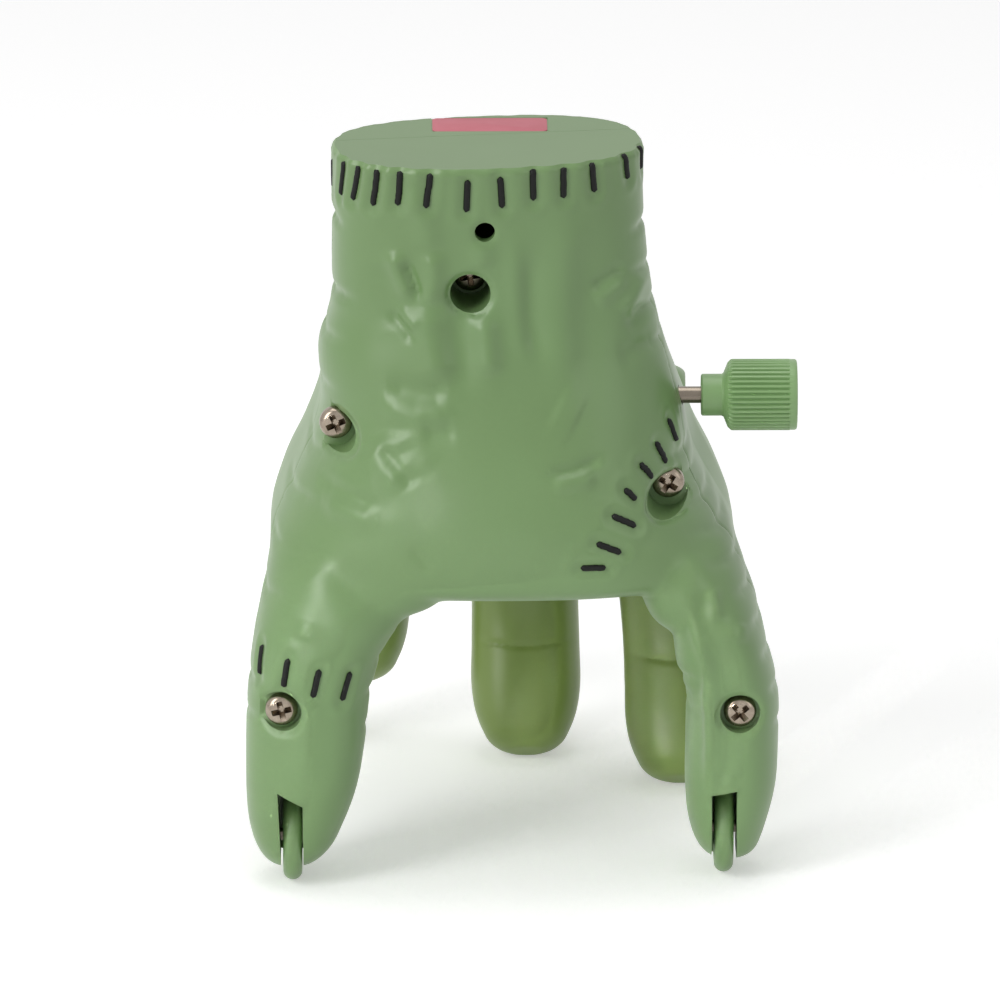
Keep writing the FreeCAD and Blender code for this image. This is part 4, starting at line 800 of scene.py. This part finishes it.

# Rear fingers: moulded in ABS, each with a hub on the rod and a forked arm for its crank
# throw; their yellower green is painted shade with bounce light. Skin creases at the joints, wrinkles over
# them and a nail are cut in the mould.
# Lengths of the two upper bones, slopes of the three in degrees, the tip's height and place across,
# and how far the finger is turned back for its arm
FINGER_PLANS = {
    "index": ((21.0, 15.0), (-25.0, -70.0, -98.0), 7.3, -19.7, 8.0),
    "middle": ((21.5, 16.0), (-37.0, -84.0, -115.0), 1.27, 0.0233 * PALM_WIDTH, 0.0),
    "ring": ((20.0, 14.0), (-63.0, -97.0, -118.0), 1.33, 0.3584 * PALM_WIDTH, -8.0),
}
FINGER_STATIONS = np.array(((0.0, 0.0, 1.02), (0.14, 0.0, 0.98), (0.3, 0.35, 1.0), (0.46, 0.8, 1.06),
                            (0.56, 0.85, 1.0), (0.68, 0.9, 0.95), (0.76, 1.0, 0.97)))
TIP_STATIONS = np.array(((0.25, 0.99, 0.93), (0.45, 0.94, 0.87), (0.7, 0.81, 0.75), (0.87, 0.66, 0.6),
                         (0.95, 0.5, 0.44), (1.0, 0.32, 0.27)))
ROOT_WIDE, FINGER_WIDE, FINGER_DEEP, TIP_LONG, SPREAD_FROM = 11.8, 13.3, 12.0, 9.0, 0.12
CREASES = {"index": 0.0, "middle": 4.6, "ring": 0.0}
CRANK_Y, CRANK_Z = 13.504, 44.995
# The fingers' yellower green is painted shade with bounce light, where they sit under the palm
finger_plastic_painted_shade = moulded_plastic("moulded_abs_finger_green_painted_shade", "#82994F", "#7C934B", 0.38)
for name, root_x in FINGER_ROOTS.items():
    bones, slopes, lift, tip_x, rock = FINGER_PLANS[name]
    corners = [np.array((KNUCKLE_Y, KNUCKLE_Z))]
    for bone, slope in zip(bones, slopes):
        turn = math.radians(slope)
        corners.append(corners[-1] + bone * np.array((math.cos(turn), math.sin(turn))))
    drop = lift - corners[-1][1]
    corners.append(corners[-1] + np.array((drop / math.tan(math.radians(slopes[2])), drop)))
    corners = np.array(corners)
    reach = np.concatenate(([0], np.cumsum(np.linalg.norm(np.diff(corners, axis=0), axis=1))))
    stations = [(s, ROOT_WIDE + (FINGER_WIDE - ROOT_WIDE) * w, FINGER_DEEP * d)
                for s, w, d in FINGER_STATIONS]
    stations += [(1 - TIP_LONG / reach[-1] * (1 - s), FINGER_WIDE * w, FINGER_DEEP * d)
                 for s, w, d in TIP_STATIONS]
    stations = np.array(stations)
    shares = np.concatenate((np.linspace(0, 0.88, 46), np.linspace(0.885, 1, 26)))
    path = flowing(reach, corners, shares * reach[-1])
    ahead = np.gradient(path, shares, axis=0)
    ahead /= np.linalg.norm(ahead, axis=1)[:, None]
    sizes = flowing(stations[:, 0], stations[:, 1:], shares)
    spread = np.clip(shares - SPREAD_FROM, 0, 1) / (1 - SPREAD_FROM)
    across_at = root_x + (tip_x - root_x) * (1 - (1 - spread) ** 3)
    rows = []
    for (y, z), (hy, hz), (wide, deep), x in zip(path, ahead, sizes, across_at):
        rows.append(rounded_row((x, y, z), wide / 2, deep / 2, (1, 0, 0), (0, -hz, hy), DIGIT_POWER,
                                DIGIT_POWER, 64)[::-1])
    hub = lathe([(-6.2, 6.1), (-5.7, 6.6), (5.7, 6.6), (6.2, 6.1)], (root_x, KNUCKLE_Y, KNUCKLE_Z),
                (1, 0, 0), 64)
    finger = merged(name + "_skin", [skinned([row[::-1] for row in rows]), hub], 0.33)
    relaxed(finger, 16, lambda points: np.full(len(points), 0.25))
    # Creases and nail, by how far along the finger a point is and which side it is on
    points, normals = read_points(finger), read(finger.data.vertex_normals, "vector")
    centres = np.column_stack((across_at, path))
    gaps = np.linalg.norm(points[:, None, :] - centres[None, ::2, :], axis=2)
    nearest = gaps.argmin(1)
    middles, ways = centres[::2][nearest], ahead[::2][nearest]
    station = (shares * reach[-1])[::2][nearest] + np.einsum("ij,ij->i", (points - middles)[:, 1:], ways)
    outer = normals[:, 1] * -ways[:, 1] + normals[:, 2] * ways[:, 0]
    beside = points[:, 0] - middles[:, 0]
    rise = np.zeros(len(points))
    for joint in (reach[1], reach[2]):
        bow = 0.025 * beside ** 2
        crease = station - joint - CREASES[name] + bow
        rise -= 0.3 * np.clip(-outer * 1.4, 0, 1) * np.exp(-(crease / 0.5) ** 2 - (beside / 5.4) ** 4)
        for shift in (-2.2, -1.1, 0.0, 1.1, 2.2):
            bow = 0.05 * beside ** 2 * np.sign(shift)
            rise -= 0.26 * np.clip(outer * 1.4, 0, 1) * np.exp(-((station - joint - shift - bow) / 0.36) ** 2)
        rise += 0.3 * np.clip(outer, 0, 1) * np.exp(-((station - joint) / 3.2) ** 2)
    nail = np.hypot(beside / 4.3, (station - (reach[-1] - 6.0)) / 4.6)
    up = np.clip(outer * 1.5, 0, 1)
    groove = np.exp(-((nail - 1) / 0.11) ** 2) * (station < reach[-1] - 2.5)
    rise += up * (0.22 * np.clip(1.2 - nail, 0, 1) - 0.42 * groove)
    points += normals * rise[:, None]
    # The tip comes down to the node's own lowest point
    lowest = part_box(name + "_finger")[0][2] * 1000
    points[:, 2] -= (points[:, 2].min() - lowest) * np.clip(station / reach[-1], 0, 1) ** 3
    write_points(finger, points)
    # Fork arm, turned about the rod to its place on the crank
    turn = math.radians(rock)
    for low in (CRANK_Z + 4.0, CRANK_Z - 5.5):
        body_points, faces = box_body((root_x - 2.2, CRANK_Y - 3.0, low),
                                      (root_x + 2.2, KNUCKLE_Y, low + 1.5))
        body_points = body_points - (0, KNUCKLE_Y, KNUCKLE_Z)
        y, z = body_points[:, 1].copy(), body_points[:, 2].copy()
        body_points[:, 1] = y * math.cos(turn) - z * math.sin(turn) + KNUCKLE_Y
        body_points[:, 2] = y * math.sin(turn) + z * math.cos(turn) + KNUCKLE_Z
        combined(finger, "UNION", (body_points, faces))
    combined(finger, "DIFFERENCE", bore(root_x - 12, KNUCKLE_Y, KNUCKLE_Z, 1.04, 24, (1, 0, 0)))
    finished(finger, name + "_finger_visual", finger_plastic_painted_shade, name, [name + "_finger"])

# Winding knob: moulded in the hand's own green, ribbed for the fingers, pressed on the shaft. Its colour is
# that green made lighter, which paints on the light that falls on it.
KNOB_X, RIBS, GROOVE_DEPTH = 21.63, 42, 0.34
# Along the knob, its radius, and the share of a groove's depth
profile = [(0.0, 1.02, 0), (0.0, 2.35, 0), (0.15, 2.5, 0), (2.45, 2.5, 0), (2.65, 2.62, 0),
           (3.12, 3.78, 0), (3.22, 3.92, 0.3), (3.55, 4.22, 1), (3.75, 4.25, 1), (6.5, 4.25, 1),
           (10.35, 4.25, 1), (10.5, 4.25, 0.15), (10.55, 4.22, 0), (11.15, 4.22, 0), (11.33, 4.12, 0),
           (11.4, 3.9, 0), (11.4, 1.6, 0), (11.22, 1.4, 0), (11.22, 0.02, 0)]
turn = 2 * np.pi * np.arange(RIBS * 12) / (RIBS * 12)
groove = np.clip(np.abs(np.mod(turn * RIBS / (2 * np.pi), 1) - 0.5) * 2, 0, 1)
groove = np.clip((groove - 0.38) / 0.5, 0, 1)
rows = []
for along, radius, cut in profile:
    reach = radius - GROOVE_DEPTH * cut * groove
    rows.append(np.column_stack((np.full(len(turn), KNOB_X + along), WINDER_Y + reach * np.cos(turn),
                                 WINDER_Z + reach * np.sin(turn))))
# The knob's lighter green is painted light, not a plastic of its own
knob_plastic_painted_light = moulded_plastic("moulded_abs_knob_green_painted_light", "#8AAE75", "#86A971", 0.38)
knob = piece("knob", *skinned(rows))
combined(knob, "DIFFERENCE", bore(KNOB_X - 1, WINDER_Y, WINDER_Z, 1.0, 10.0, (1, 0, 0)))
finished(knob, "winding_knob_visual", knob_plastic_painted_light, "winder", ["winding_knob"], 30)

# Clockwork: drawn steel shafts and crank, zinc plated steel plates, brass wheels, white acetal
# gears and a blued spring. They keep the CAD's own shapes, each in its real finish.
def metal(name, dark, light, roughness, streak):
    """A bright metal, its colour and gloss drawn out along the lines that its making left."""
    made, tree, shader = material(name, Metallic=1.0)
    place = add(tree, "TexCoord").outputs["Object"]
    lined = add(tree, "Mapping", {"Vector": place, "Scale": streak})
    grain = noise(tree, 0.0015, 4.0, lined.outputs["Vector"])
    toned(tree, shader, grain, dark, light)
    glossed(tree, shader, grain, roughness - 0.06, roughness + 0.08)
    bumped(tree, shader, grain, 0.15, 0.00005)
    return made


drawn_steel = metal("drawn_steel", "#5F574E", "#988E81", 0.24, (0.1, 1, 1))
zinc_plate = metal("zinc_plated_steel", "#A3A8AC", "#C6CBCF", 0.38, (1, 1, 0.3))
brass = metal("turned_brass", "#B08D45", "#D6B66C", 0.28, (1, 0.4, 0.4))
blued = metal("blued_spring_steel", "#2E3A52", "#55637C", 0.3, (0.2, 1, 1))
acetal = moulded_plastic("moulded_acetal_white", "#E6E4DC", "#DEDCD2", 0.42)
FINISHES = {
    drawn_steel: ("winding_shaft", "thumb_axle", "little_axle", "pivot_rod", "second_arbor",
                  "governor_arbor", "crankshaft"),
    zinc_plate: ("motor_plate_left", "motor_plate_right", "plate_pillars"),
    brass: ("great_wheel", "flywheel"), blued: ("mainspring",),
    acetal: ("second_gear", "crank_pinion", "governor_pinion", "finger_spacers"),
}
for surface, names in FINISHES.items():
    for name in names:
        for holder in nodes[name].material_slots:
            holder.material = surface

# Studio: a white sweep of paper under the hand, soft boxes above and in front with a gridded one
# low at the left for the rear fingers, and the camera a little above the wrist, 1.5 m away.
def seen_rays(tree):
    """One for rays that come from the camera or from a gloss, and nought for the rest."""
    rays = add(tree, "LightPath").outputs
    return add(tree, "Math", {0: rays["Is Camera Ray"], 1: rays["Is Glossy Ray"]},
               operation="MAXIMUM").outputs[0]


paper, tree, shader = material("white_paper_floor", Base_Color=srgb("#FAFAFA"), Roughness=0.9,
                               Specular_IOR_Level=0.1)
glow = add(tree, "Emission", {"Color": (1, 1, 1, 1), "Strength": 0.35})
none = add(tree, "Emission", {"Color": (0, 0, 0, 1), "Strength": 0.0})
chosen = add(tree, "MixShader", {"Fac": seen_rays(tree), 1: none.outputs[0], 2: glow.outputs[0]})
total = add(tree, "AddShader", {0: shader.outputs[0], 1: chosen.outputs[0]})
tree.links.new(total.outputs[0], tree.nodes["Material Output"].inputs["Surface"])
FLOOR_HALF, FLOOR_DROP = 3000, 0.00005
floor = piece("floor", FLOOR_HALF * np.array(((-1, -1, 0), (1, -1, 0), (1, 1, 0), (-1, 1, 0))),
              [(0, 1, 2, 3)], paper)
floor.location.z = -FLOOR_DROP

world = bpy.data.worlds.new("studio")
bpy.context.scene.world = world
world.use_nodes = True
tree = world.node_tree
ground = tree.nodes["Background"]
ground.inputs["Color"].default_value, ground.inputs["Strength"].default_value = (1, 1, 1, 1), 0.3
white = add(tree, "Background", {"Color": (1, 1, 1, 1), "Strength": 1.0})
mix = add(tree, "MixShader", {"Fac": seen_rays(tree), 1: ground.outputs[0], 2: white.outputs[0]})
tree.links.new(mix.outputs[0], tree.nodes["World Output"].inputs["Surface"])


def softbox(name, place, aim, width, height, power, spread=180):
    lamp = bpy.data.lights.new(name, "AREA")
    lamp.shape, lamp.size, lamp.size_y, lamp.energy = "RECTANGLE", width, height, power
    lamp.spread = math.radians(spread)
    holder = bpy.data.objects.new(name, lamp)
    holder.location = place
    holder.rotation_euler = (Vector(aim) - Vector(place)).to_track_quat("-Z", "Y").to_euler()
    bpy.context.scene.collection.objects.link(holder)


softbox("key_softbox", (-0.52, -0.46, 0.42), (0, 0, 0.05), 0.28, 0.6, 2.85)
softbox("fill_softbox", (0.6, -0.45, 0.35), (0, 0, 0.05), 0.35, 0.45, 0.4)
softbox("low_gridded_softbox", (-0.3, -0.71, 0.13), (0.024, 0.01, 0.002), 0.08, 0.04, 0.0045, 7)
softbox("top_softbox", (-0.05, 0.05, 0.8), (0, 0, 0.04), 0.6, 0.5, 2.2)

bpy.context.scene.view_settings.view_transform = "Standard"
lens = bpy.data.cameras.new("camera")
lens.sensor_width, lens.lens, lens.clip_start, lens.clip_end = 36, 453.3, 0.01, 20
camera = bpy.data.objects.new("camera", lens)
bpy.context.scene.collection.objects.link(camera)
pitch, swing = math.radians(17.24), math.radians(-0.58)
away = Vector((math.sin(swing) * math.cos(pitch), -math.cos(swing) * math.cos(pitch), math.sin(pitch)))
camera.location = Vector((-0.00248, -0.01845, 0.04457)) + away * 1.5
camera.rotation_euler = (math.radians(90) - pitch, 0, swing)
bpy.context.scene.camera = camera
